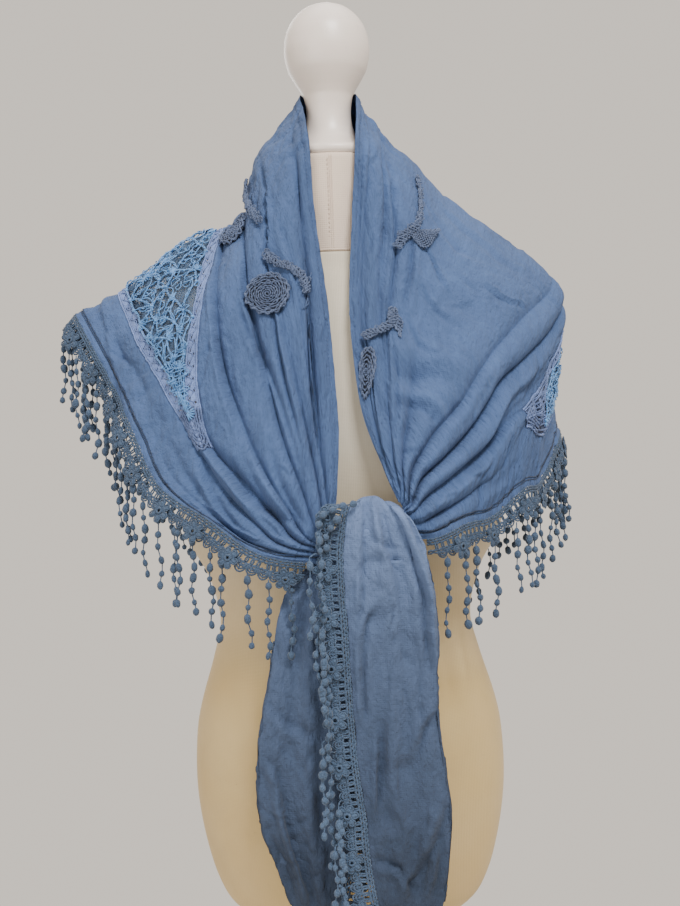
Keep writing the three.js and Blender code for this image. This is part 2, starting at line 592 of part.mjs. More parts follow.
// Net rows sit a share of the way between two rows of the cloth, so both keep the same straight runs.
function netRow(leaf, upper, lower, share, shift) {
  const cellsAcross = 2 * NET_MESHES_ACROSS + 1;
  const row = [];
  for (let i = 0; i <= cellsAcross; i += 1) {
    const ends = [upper, lower].map((r) => {
      const edges = leafEdges(leaf, r);
      const start = edges.band + SEAM_GAP / edges.width;
      const span = 1 - 2 * start;
      const rib = Math.min(NET_RIB / edges.width / span, 0.5 / (NET_MESHES_ACROSS + 1));
      const open = (1 - rib * (NET_MESHES_ACROSS + 1)) / NET_MESHES_ACROSS;
      const place = Math.floor((i + 1) / 2) * rib + Math.floor(i / 2) * open;
      const inside = i > 1 && i < cellsAcross - 1 ? shift * open : 0;
      return leafCell(leaf, r, start + span * (place + inside), NET_WALL);
    });
    row.push({
      point: mix(ends[0].point, ends[1].point, share),
      normal: unit(mix(ends[0].normal, ends[1].normal, share)),
      wall: NET_WALL,
    });
  }
  return row;
}

function buildNet(name, leaf) {
  const inside = leafRows(leaf).slice(1, -1);
  const rows = [];
  let zig = 1;
  for (let i = 0; i < inside.length - 1; i += 1) {
    const length = distance(cloth[inside[i]][20].point, cloth[inside[i + 1]][20].point);
    const meshes = length > NET_MESH_LENGTH * 1.6 ? 2 : 1;
    const rib = NET_RIB / length;
    for (let k = 0; k < meshes; k += 1) {
      const top = k / meshes + (i === 0 && k === 0 ? SEAM_GAP / length : 0);
      rows.push(netRow(leaf, inside[i], inside[i + 1], top, 0.14 * zig));
      rows.push(netRow(leaf, inside[i], inside[i + 1], k / meshes + rib, 0.14 * zig));
      zig = -zig;
    }
  }
  const last = inside.length - 1;
  const length = distance(cloth[inside[last - 1]][20].point, cloth[inside[last]][20].point);
  rows.push(netRow(leaf, inside[last - 1], inside[last], 1 - (NET_RIB * 0.9) / length, 0.14 * zig));
  rows.push(netRow(leaf, inside[last - 1], inside[last], 1 - SEAM_GAP / length, 0.14 * zig));
  addMesh(name, wallGeometry(rows, (r, c) => r % 2 === 0 || c % 2 === 0), COLOURS.net, 0.7);
}

buildEdging('inset_edging_right', LEAVES.right_hand);
buildNet('inset_net_right', LEAVES.right_hand);
buildEdging('inset_edging_left', LEAVES.left_hand);
buildNet('inset_net_left', LEAVES.left_hand);

// Raised crochet
// A point above the cloth that bridges its folds instead of dipping into them, as stiff crochet does. It lies
// "side" and "up" millimetres from a place, measured in the sheet's own plane there.
function bridging(across, at, side, up, lift) {
  const step = 0.01;
  const normal = sheetNormal(across, at);
  const upWay = unit(add([0, 0, 1], normal, -normal[2]));
  const sideWay = cross(upWay, normal);
  const slope = (ahead, behind) => add(ahead, behind, -1).map((v) => v / (2 * step));
  const acrossWay = slope(smoothSheet(across + step, at), smoothSheet(across - step, at));
  const alongWay = slope(smoothSheet(across, at + step), smoothSheet(across, at - step));
  const shift = add(sideWay.map((v) => v * side), upWay, up);
  const [aa, ab, bb] = [dot(acrossWay, acrossWay), dot(acrossWay, alongWay), dot(alongWay, alongWay)];
  const [da, db] = [dot(acrossWay, shift), dot(alongWay, shift)];
  const a = across + (da * bb - db * ab) / (aa * bb - ab * ab);
  const w = at + (db * aa - da * ab) / (aa * bb - ab * ab);
  const away = sheetNormal(a, w);
  const onFold = onCloth(a, w, 0).point;
  const dip = Math.max(dot(add(smoothSheet(a, w), onFold, -1), away), 0);
  return { point: add(onFold, away, dip + lift), normal: away };
}

function buildRosette({ name, across, at, tall, wide }) {
  const rings = [[0, 1.2], [0.3, 2.2], [0.5, 1.1], [0.8, 2.2], [1, 0.9]];
  const sides = 12;
  const positions = [];
  const faces = [];
  const place = (share, angle, lift) => (
    bridging(across, at, share * wide * Math.cos(angle), share * tall * Math.sin(angle), lift).point);
  positions.push(...place(0, 0, APPLIQUE_LIFT), ...place(0, 0, APPLIQUE_LIFT + rings[0][1]));
  const index = (ring, side, top) => 2 + ((ring - 1) * sides + ((side + sides) % sides)) * 2 + (top ? 1 : 0);
  for (let ring = 1; ring < rings.length; ring += 1) {
    for (let side = 0; side < sides; side += 1) {
      const angle = (side / sides) * 2 * Math.PI;
      const ruffle = ring === rings.length - 1 ? 1 + 0.06 * Math.cos(6 * angle) : 1;
      positions.push(...place(rings[ring][0] * ruffle, angle, APPLIQUE_LIFT));
      positions.push(...place(rings[ring][0] * ruffle, angle, APPLIQUE_LIFT + rings[ring][1]));
    }
  }
  for (let side = 0; side < sides; side += 1) {
    faces.push(1, index(1, side, true), index(1, side + 1, true));
    faces.push(0, index(1, side + 1, false), index(1, side, false));
    for (let ring = 1; ring < rings.length - 1; ring += 1) {
      const corners = [[ring, side], [ring + 1, side], [ring + 1, side + 1], [ring, side + 1]];
      const top = corners.map(([r, s]) => index(r, s, true));
      const low = corners.map(([r, s]) => index(r, s, false));
      faces.push(top[0], top[1], top[2], top[0], top[2], top[3]);
      faces.push(low[0], low[2], low[1], low[0], low[3], low[2]);
    }
    const rim = rings.length - 1;
    const a = index(rim, side, true);
    const b = index(rim, side + 1, true);
    const c = index(rim, side + 1, false);
    const d = index(rim, side, false);
    faces.push(a, c, b, a, d, c);
  }
  addMesh(name, outward(packed(positions, faces)), COLOURS.cord, 0.95);
}

function signedVolume(geometry) {
  const p = geometry.attributes.position;
  const index = geometry.index.array;
  let sum = 0;
  for (let i = 0; i < index.length; i += 3) {
    const [a, b, c] = [0, 1, 2].map((k) => index[i + k]).map((n) => [p.getX(n), p.getY(n), p.getZ(n)]);
    sum += dot(a, cross(b, c)) / 6;
  }
  return sum;
}

function outward(geometry) {
  if (signedVolume(geometry) > 0) return geometry;
  const index = Array.from(geometry.index.array);
  for (let i = 0; i < index.length; i += 3) [index[i + 1], index[i + 2]] = [index[i + 2], index[i + 1]];
  geometry.setIndex(index);
  return geometry;
}

function buildVine({ name, lift, wide, path }) {
  const points = path.map(([across, at]) => [across, at, 0]);
  const steps = (path.length - 1) * 3;
  const rows = [];
  for (let i = 0; i <= steps; i += 1) {
    const t = (i / steps) * (points.length - 1);
    const here = spline(points, t);
    const ahead = spline(points, Math.min(t + 0.05, points.length - 1));
    const behind = spline(points, Math.max(t - 0.05, 0));
    const normal = sheetNormal(here[0], here[1]);
    const way = unit(add(smoothSheet(ahead[0], ahead[1]), smoothSheet(behind[0], behind[1]), -1));
    const upWay = unit(add([0, 0, 1], normal, -normal[2]));
    const sideWay = cross(upWay, normal);
    const crossing = cross(way, normal);
    const swell = 0.55 + 0.45 * Math.abs(Math.sin((i / steps) * Math.PI * (path.length - 0.5)));
    const half = (wide / 2) * swell;
    rows.push([-1, 0, 1].map((edge, c) => {
      const height = c === 1 ? APPLIQUE_WALL : 0.9;
      const reach = half * edge;
      const cell = bridging(here[0], here[1], dot(crossing, sideWay) * reach, dot(crossing, upWay) * reach,
        lift + height);
      return { ...cell, wall: height };
    }));
  }
  addMesh(name, outward(wallGeometry(rows, () => true)), COLOURS.cord, 0.95);
}

ROSETTES.forEach(buildRosette);
VINES.forEach(buildVine);

// Hanging ends
const TAIL_STEPS = 8;
const TAIL_TURN = [[0.75, 1.4], [1, 4.5], [0.6, 8]];
const TAIL_RETURN = 3;

function tailRow(row, rowShare, foldedBehind) {
  const width = row.fold - row.edge;
  const way = Math.sign(width);
  const cells = [];
  const scale = Math.min(Math.abs(width) / 80, 1);
  for (let i = 0; i <= TAIL_STEPS; i += 1) {
    const share = i / TAIL_STEPS;
    const pleats = TAIL_PLEATS.reduce((sum, pleat) => {
      const off = (share - pleat.across - 0.06 * Math.sin(5 * rowShare)) / pleat.width;
      return sum + pleat.depth * Math.exp(-off * off);
    }, 0);
    const hang = Math.min(row.bow / 5, 1);
    const y = row.y - row.bow * Math.sin(Math.PI * share) + pleats * scale * hang;
    cells.push([row.edge + width * share, y, row.z]);
  }
  TAIL_TURN.forEach(([out, back]) => {
    cells.push([row.fold + way * out * 2.4, row.y + back * foldedBehind, row.z]);
  });
  for (let i = 1; i <= TAIL_RETURN; i += 1) {
    const share = i / TAIL_RETURN;
    const back = (8.6 + 1.5 * Math.sin(3 * share)) * foldedBehind;
    cells.push([row.fold - width * 0.55 * share, row.y + back, row.z]);
  }
  return cells;
}

function tailGrid(table) {
  const grid = table.map((row, i) => tailRow(row, i / (table.length - 1), Math.max(row.bow, 1) > 2 ? 1 : 0.6)
    .map((point) => ({ point, wall: CLOTH_WALL })));
  const flip = table[5].fold > table[5].edge ? 1 : -1;
  grid.forEach((row, r) => row.forEach((cell, c) => {
    const up = grid[Math.max(r - 1, 0)][c].point;
    const down = grid[Math.min(r + 1, grid.length - 1)][c].point;
    const before = row[Math.max(c - 1, 0)].point;
    const after = row[Math.min(c + 1, row.length - 1)].point;
    const normal = cross(add(down, up, -1), add(after, before, -1));
    cell.normal = unit(normal.map((value) => value * flip));
  }));
  return grid;
}

function buildTail(name, table, firstFolded, lastFolded) {
  const grid = tailGrid(table);
  const present = (r, c) => c < TAIL_STEPS || (r >= firstFolded && r < lastFolded);
  addMesh(name, outward(wallGeometry(grid, present)), COLOURS.tail, 0.9);
  return grid;
}

const frontTail = buildTail('tail_front', FRONT_TAIL, 7, 15);
const backTail = buildTail('tail_back', BACK_TAIL, 4, 10);

// Knot
function buildKnot() {
  const positions = [];
  const faces = [];
  KNOT.forEach(({ centre, high, deep, lean = 0 }) => {
    for (let side = 0; side < KNOT_SIDES; side += 1) {
      const angle = (side / KNOT_SIDES) * 2 * Math.PI;
      const groove = side % 2 === 0 ? 0 : KNOT_GROOVE;
      const up = (high - groove) * Math.sin(angle);
      positions.push(centre[0] + lean * up, centre[1] + (deep - groove) * Math.cos(angle), centre[2] + up);
    }
  });
  const index = (ring, side) => ring * KNOT_SIDES + ((side + KNOT_SIDES) % KNOT_SIDES);
  for (let ring = 0; ring < KNOT.length - 1; ring += 1) {
    for (let side = 0; side < KNOT_SIDES; side += 1) {
      faces.push(index(ring, side), index(ring + 1, side), index(ring + 1, side + 1));
      faces.push(index(ring, side), index(ring + 1, side + 1), index(ring, side + 1));
    }
  }
  [0, KNOT.length - 1].forEach((ring) => {
    const centre = positions.length / 3;
    positions.push(...KNOT[ring].centre);
    for (let side = 0; side < KNOT_SIDES; side += 1) {
      const pair = [index(ring, side), index(ring, side + 1)];
      if (ring === 0) faces.push(centre, pair[0], pair[1]);
      else faces.push(centre, pair[1], pair[0]);
    }
  });
  addMesh('knot_core', outward(packed(positions, faces)), COLOURS.tail, 0.9);
}
buildKnot();

// Crochet trim: a narrow strip with a ladder of holes and its hanging strings of bobbles, in one piece
// Between two stops of an edge: each stop has a point, an outward way, a normal and the cloth's own normal.
function betweenStops(from, to, share) {
  return {
    point: mix(from.point, to.point, share),
    way: unit(mix(from.way, to.way, share)),
    normal: unit(mix(from.normal, to.normal, share)),
    edgeNormal: unit(mix(from.edgeNormal, to.edgeNormal, share)),
  };
}

// A bar starts at every stop, so the strip turns each corner of the hem with the cloth.
function trimBars(stops, pitch) {
  const bars = [];
  const end = stops.length - 1;
  const pull = (from, to) => betweenStops(from, to, SEAM_GAP / distance(from.point, to.point));
  const ends = [pull(stops[0], stops[1]), pull(stops[end], stops[end - 1])];
  for (let i = 0; i < end; i += 1) {
    const run = distance(stops[i].point, stops[i + 1].point);
    const count = Math.max(Math.round(run / pitch), 1);
    const bar = Math.min(LADDER_BAR_SHARE / count, LADDER_BAR_WIDEST / run);
    for (let k = 0; k < count; k += 1) {
      bars.push([k / count, k / count + bar].map((share) => betweenStops(stops[i], stops[i + 1], share)));
    }
  }
  bars.push([0.85, 1].map((share) => betweenStops(stops[end - 1], stops[end], share)));
  bars[0][0] = ends[0];
  bars[bars.length - 1][1] = ends[1];
  return bars;
}

function buildTrim(name, stops, options) {
  const bars = trimBars(stops, options.pitch || LADDER_PITCH);
  const skipFirst = options.skipFirst || 0;
  const skipLast = options.skipLast || 0;
  const rows = [];
  const strands = new Map();
  bars.forEach((bar, i) => {
    const rise = i % SCALLOPS_EVERY === 0 ? SCALLOP_RISE : 0;
    const rim = TRIM_HEADER + TRIM_LADDER + TRIM_SCALLOP - SCALLOP_RISE + rise;
    bar.forEach(({ point, way, normal, edgeNormal }) => {
      const outs = [TRIM_GAP, TRIM_HEADER, TRIM_HEADER + TRIM_LADDER, rim];
      rows.push(outs.map((out, c) => {
        const own = c === 0 ? edgeNormal : normal;
        return { point: add(point, way, out), normal: own, wall: c === 0 ? CLOTH_WALL : TRIM_WALL };
      }));
    });
    if (i < skipFirst || i >= bars.length - skipLast) return;
    const middle = betweenStops(bar[0], bar[1], 0.5);
    const edge = add(add(middle.point, middle.way, rim), middle.normal, -TRIM_WALL / 2);
    const slot = options.slots ? options.slots[i % options.slots.length] : null;
    const lead = slot ? [Math.sign(middle.way[0]), 0, 0] : null;
    const hook = slot ? add(add(edge, lead, slot[0]), [0, slot[1], -1.5]) : add(edge, middle.way, 2);
    strands.set(2 * i, { hook, lead, drop: options.drop || STRAND_DROP, bobbles: options.bobbles || 3 });
  });
  const present = (r, c) => c !== 1 || r % 2 === 0;
  addMesh(name, outward(wallGeometry(rows, present, strands)), COLOURS.trim, 0.95);
}

// The cloth's hem as trim stops: outward across the cloth, squared to the hem and eased downward.
function hemStops(firstRow, lastRow) {
  const stops = [];
  for (let r = firstRow; r <= lastRow; r += 1) {
    const edge = cloth[r][COLUMNS - 1];
    const inner = cloth[r][COLUMNS - 3];
    const tangent = unit(add(cloth[Math.min(r + 1, cloth.length - 1)][COLUMNS - 1].point,
      cloth[Math.max(r - 1, 0)][COLUMNS - 1].point, -1));
    const outwardWay = unit(add(edge.point, inner.point, -1));
    const eased = add(outwardWay, [0, 0, -0.7]);
    const way = unit(add(eased, tangent, -dot(eased, tangent)));
    stops.push({ point: edge.point, way, normal: unit(cross(tangent, way)), edgeNormal: edge.normal });
  }
  return stops;
}

const lastRow = rowPlaces.length - 1;
buildTrim('trim_right_front', hemStops(0, rightCrestRow), { skipFirst: 1 });
buildTrim('trim_back', hemStops(rightCrestRow, leftCrestRow),
  { pitch: 40, bobbles: 2, skipFirst: 1, skipLast: 1 });
buildTrim('trim_left_front', hemStops(leftCrestRow, lastRow), { skipLast: 1 });

// A hanging end's lace edge as trim stops
function tailStops(grid, first, last, way) {
  const stops = [];
  for (let r = first; r <= last; r += 1) {
    const edge = grid[r][0];
    stops.push({ point: edge.point, way: [way, 0, 0], normal: [0, -1, 0], edgeNormal: edge.normal });
  }
  return way < 0 ? stops.reverse() : stops;
}

const TAIL_SLOTS = [[2, -1], [10, -1], [5, -9], [13, -9]];
const BACK_SLOTS = [[2, 1], [10, 1], [5, 9], [13, 9]];
buildTrim('trim_tail_front', tailStops(frontTail, 6, 17, -1), { slots: TAIL_SLOTS, drop: 74, skipFirst: 1 });
buildTrim('trim_tail_back', tailStops(backTail, 3, 12, 1),
  { slots: BACK_SLOTS, pitch: 30, drop: 74, skipLast: 1 });

// Dress form and stand
function ringSolid(rings) {
  const sides = rings[0].length;
  const positions = rings.flat(2);
  const faces = [];
  const index = (ring, side) => ring * sides + (side % sides);
  for (let ring = 0; ring < rings.length - 1; ring += 1) {
    for (let side = 0; side < sides; side += 1) {
      faces.push(index(ring, side), index(ring, side + 1), index(ring + 1, side + 1));
      faces.push(index(ring, side), index(ring + 1, side + 1), index(ring + 1, side));
    }
  }
  [0, rings.length - 1].forEach((ring) => {
    const middle = positions.length / 3;
    const centre = rings[ring].reduce((sum, point) => add(sum, point, 1 / sides), [0, 0, 0]);
    positions.push(...centre);
    for (let side = 0; side < sides; side += 1) {
      if (ring === 0) faces.push(middle, index(ring, side + 1), index(ring, side));
      else faces.push(middle, index(ring, side), index(ring, side + 1));
    }
  });
  return outward(packed(positions, faces));
}

function turned(profile, sides) {
  return ringSolid(profile.map(([radius, z]) => {
    const ring = [];
    for (let side = 0; side < sides; side += 1) {
      const angle = (side / sides) * 2 * Math.PI;
      ring.push([radius * Math.cos(angle), radius * Math.sin(angle), z]);
    }
    return ring;
  }));
}

function torsoRing({ z, half, front, back }) {
  const ring = [];
  for (let side = 0; side < FORM_SIDES; side += 1) {
    const angle = (side / FORM_SIDES) * 2 * Math.PI;
    const c = Math.cos(angle);
    const s = Math.sin(angle);
    const depth = s < 0 ? front : back;
    const x = half * Math.sign(c) * Math.abs(c) ** (2 / BODY_SQUARENESS);
    let y = depth * Math.sign(s) * Math.abs(s) ** (2 / BODY_SQUARENESS);
    if (s < 0) {
      BUST.forEach((mound) => {
        const off = ((x - mound.x) ** 2 + (z - mound.z) ** 2) / mound.spread ** 2;
        y -= mound.rise * Math.exp(-off) * Math.abs(s);
      });
    }
    ring.push([x, y, z]);
  }
  return ring;
}

addMesh('finial', turned(FINIAL, FORM_SIDES), COLOURS.paint, 0.35);
addMesh('neck_block', turned(NECK, FORM_SIDES), COLOURS.canvas, 0.9);
addMesh('torso', ringSolid(TORSO.map(torsoRing)), COLOURS.jersey, 0.95);
addMesh('pole', turned([[POLE_RADIUS, BASE_HEIGHT + 0.4], [POLE_RADIUS, POLE_TOP]], 24),
  COLOURS.metal, 0.4, 0.8);
addMesh('base',
  turned([[BASE_RADIUS, 0], [BASE_RADIUS, BASE_HEIGHT - 3], [BASE_RADIUS - 3, BASE_HEIGHT]], 32),
  COLOURS.metal, 0.45, 0.8);

export default group;
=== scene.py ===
import math
from functools import lru_cache

import bpy
import numpy as np
from mathutils import Matrix, Vector


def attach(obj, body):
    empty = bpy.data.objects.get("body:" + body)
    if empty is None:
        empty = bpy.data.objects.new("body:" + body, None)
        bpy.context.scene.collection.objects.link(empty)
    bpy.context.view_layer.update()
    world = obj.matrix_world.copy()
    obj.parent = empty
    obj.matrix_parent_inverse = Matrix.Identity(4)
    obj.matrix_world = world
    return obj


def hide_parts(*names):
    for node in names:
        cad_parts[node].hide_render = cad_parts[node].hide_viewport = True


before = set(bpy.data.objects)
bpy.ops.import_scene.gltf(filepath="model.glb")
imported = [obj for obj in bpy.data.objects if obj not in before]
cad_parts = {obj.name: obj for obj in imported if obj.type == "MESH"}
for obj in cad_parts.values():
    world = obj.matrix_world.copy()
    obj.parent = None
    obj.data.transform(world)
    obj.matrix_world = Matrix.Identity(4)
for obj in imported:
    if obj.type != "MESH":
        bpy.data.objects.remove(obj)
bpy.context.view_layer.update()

bl_info = {
    "name": "Triangle scarf on a dress form",
    "version": (1, 0, 0),
    "blender": (4, 5, 0),
    "location": "View3D > Sidebar > Scarf",
    "description": "Builds a cotton triangle scarf with crochet trim, tied round a limbless dress form",
    "category": "Add Mesh",
}

MM = 0.001
BODY = "root"

# The draped cloth, in millimetres: one row per section from the knot on the wearer's right (-1), up
# over that
# shoulder, round the back of the neck (0) and down to the knot again (1). Each row runs from neck
# edge to hem.
SECTIONS = np.array([
    [[-9, -146, 661], [-11, -150, 653], [-13, -152, 646], [-14, -152, 640], [-15, -152, 633],
     [-17, -150, 627]],
    [[-4, -138, 700], [-16, -151, 673], [-29, -157, 655], [-43, -159, 646], [-59, -157, 641],
     [-77, -152, 639]],
    [[-1, -120, 761], [-22, -140, 715], [-43, -149, 685], [-69, -150, 669], [-97, -143, 663],
     [-129, -134, 674]],
    [[-6, -96, 859], [-29, -121, 786], [-60, -131, 744], [-94, -131, 725], [-132, -119, 712],
     [-176, -102, 706]],
    [[-17, -62, 966], [-42, -88, 890], [-78, -98, 832], [-117, -98, 806], [-160, -86, 784],
     [-205, -68, 764]],
    [[-21, -50, 1049], [-64, -47, 990], [-95, -62, 924], [-139, -66, 887], [-187, -52, 851],
     [-233, -30, 820]],
    [[-28.5, 3, 1098], [-77, 22, 1044], [-99, 28, 982], [-152, 30, 956], [-217, 30, 911],
     [-267, 25, 882]],
    [[-20.5, 20, 1098], [-58, 68, 1026], [-97, 102, 944], [-128, 122, 860], [-142, 129, 778],
     [-147, 125, 698]],
    [[0, 28.6, 1098], [0, 78, 1020], [0, 112, 920], [0, 135, 800], [0, 140, 670], [0, 130, 540]],
    [[20.5, 20, 1098], [62, 68, 1026], [109, 104, 950], [153, 120, 868], [170, 125, 788],
     [178, 120, 710]],
    [[28.5, 3, 1098], [69, 22, 1052], [145, 32, 979], [232, 25, 899], [224, 30, 805],
     [228, 30, 749]],
    [[26, -48, 1049], [66, -46, 987], [120, -62, 922], [209, -35, 869], [210, -38, 776],
     [199, -52, 697]],
    [[20, -62, 964], [44, -86, 892], [83, -103, 845], [144, -98, 820], [180, -80, 766],
     [178, -84, 690]],
    [[14, -94, 868], [37, -117, 812], [66, -131, 780], [112, -128, 759], [145, -112, 719],
     [145, -108, 666]],
    [[22, -120, 775], [40, -137, 748], [58, -149, 726], [85, -149, 710], [108, -138, 684],
     [116, -130, 660]],
    [[41, -138, 713], [49, -149, 700], [60, -157, 688], [72, -158, 679], [83, -155, 665],
     [90, -148, 650]],
    [[52, -146, 686], [53, -149, 682], [55, -152, 676], [57, -154, 670], [60, -154, 661],
     [63, -150, 647]],
], float)

# Fold valleys of each side, from neck edge to hem. "line" gives the share of the way across at each
# share of the
# way from the middle of the back to the knot, "depth" how deep the valley is there, "lean" how far
# its pleat leans.
RIGHT_HAND_FOLDS = [
    {"lean": 1.0, "line": [(0, .07), (.25, .04), (.375, .085), (.5, .085), (.625, .15), (1, .13)],
     "depth": [(0, 1), (.25, 1.5), (.375, 2), (.45, 6), (.625, 11), (.75, 9), (.9, 3), (1, 1)]},
    {"lean": 0.8, "line": [(0, .17), (.25, .26), (.5, .285), (.625, .245), (.75, .205), (1, .22)],
     "depth": [(0, 2), (.25, 2), (.5, 3), (.7, 7), (.9, 3), (1, 1)]},
    {"lean": 0.7, "line": [(0, .3), (.25, .375), (.5, .39), (.625, .37), (.75, .33), (1, .33)],
     "depth": [(0, 3), (.25, 5), (.5, 7), (.75, 7), (.9, 3), (1, 1)]},
    {"lean": 0.75, "line": [(0, .43), (.25, .43), (.375, .515), (.5, .57), (.625, .52), (.75, .455),
                            (1, .44)],
     "depth": [(0, 4), (.25, 3), (.5, 7), (.625, 8), (.8, 7), (.9, 3), (1, 1)]},
    {"lean": 0.8, "line": [(0, .57), (.05, .665), (.125, .56), (.2, .48), (.25, .455), (.3125, .49),
                           (.375, .56),
                           (.4375, .635), (.5, .695), (.578, .735), (.66, .62), (.75, .54),
                           (.875, .53), (1, .57)],
     "depth": [(0, 4), (.2, 2), (.5, 3), (.625, 6), (.8, 9), (.9, 5), (1, 1)]},
    {"lean": 1.0, "line": [(0, .7), (.05, .7), (.125, .79), (.2, .82), (.25, .825), (.375, .85),
                           (.5, .815),
                           (.578, .775), (.66, .745), (.75, .675), (.875, .685), (1, .72)],
     "depth": [(0, 4), (.2, 2), (.5, 2), (.66, 6), (.8, 8), (.9, 5), (1, 1)]},
    {"lean": 0.8, "line": [(0, .83), (.25, .93), (.6, .93), (.75, .865), (.875, .88), (1, .87)],
     "depth": [(0, 4), (.2, 2), (.5, 1), (.7, 3), (.8, 7), (.9, 4), (1, 1)]},
]
LEFT_HAND_FOLDS = [
    {"lean": 1.0, "line": [(0, .07), (.25, .07), (.5, .08), (.75, .11), (1, .13)],
     "depth": [(0, 1), (.25, 1.5), (.5, 3), (.75, 4), (.9, 3), (1, 1)]},
    {"lean": 0.8, "line": [(0, .17), (.25, .15), (.375, .16), (.5, .21), (.625, .265), (.75, .28),
                           (1, .25)],
     "depth": [(0, 2), (.25, 2.5), (.36, 3), (.42, 6), (.6, 5), (.75, 4), (.9, 3), (1, 1)]},
    {"lean": 1.0, "line": [(0, .3), (.25, .34), (.5, .4), (.66, .42), (.75, .4), (.875, .34),
                           (1, .34)],
     "depth": [(0, 3), (.25, 3), (.5, 3), (.66, 8), (.78, 5), (.9, 3), (1, 1)]},
    {"lean": 1.1, "line": [(0, .43), (.25, .56), (.32, .591), (.4, .583), (.453, .603),
                           (.505, .622), (.579, .609),
                           (.658, .547), (.715, .519), (.78, .47), (.875, .41), (1, .42)],
     "depth": [(0, 4), (.25, 2), (.32, 5), (.4, 7), (.55, 7), (.625, 8), (.78, 9), (.9, 4),
               (1, 1)]},
    {"lean": 1.0, "line": [(0, .57), (.25, .635), (.355, .667), (.414, .677), (.47, .699),
                           (.559, .701), (.643, .675),
                           (.711, .64), (.78, .565), (.875, .5), (1, .52)],
     "depth": [(0, 4), (.25, 3), (.375, 8), (.6, 12), (.8, 10), (.9, 4), (1, 1)]},
    {"lean": 1.0, "line": [(0, .7), (.05, .765), (.125, .69), (.25, .69), (.3125, .7), (.375, .74),
                           (.4375, .78),
                           (.484, .812), (.56, .785), (.625, .765), (.75, .71), (.875, .6),
                           (1, .63)],
     "depth": [(0, 4), (.2, 2), (.4, 2), (.5, 6), (.7, 8), (.85, 8), (.9, 4), (1, 1)]},
    {"lean": 1.0, "line": [(0, .83), (.05, .8), (.125, .875), (.25, .89), (.375, .885),
                           (.4375, .875), (.484, .848),
                           (.6, .88), (.75, .85), (.875, .8), (1, .82)],
     "depth": [(0, 4), (.2, 2), (.5, 2), (.7, 5), (.8, 8), (.9, 4), (1, 1)]},
]
CELLS_PER_FOLD = [10, 14, 20, 22, 26, 24, 18, 14]
KNOT_END = 0.992
ROWS_EACH_SIDE = 256
CREST = 0.25

# Each leaf-shaped inset lies between two valleys, from near the middle of the back to a tip in
# front, and the
# last stretch of it, "solid", has no net.
LEAVES = {
    "right": {"side": -1, "between": (5, 6), "starts": .05, "ends": .578, "solid": .058},
    "left": {"side": 1, "between": (6, 7), "starts": .05, "ends": .484, "solid": .115},
}

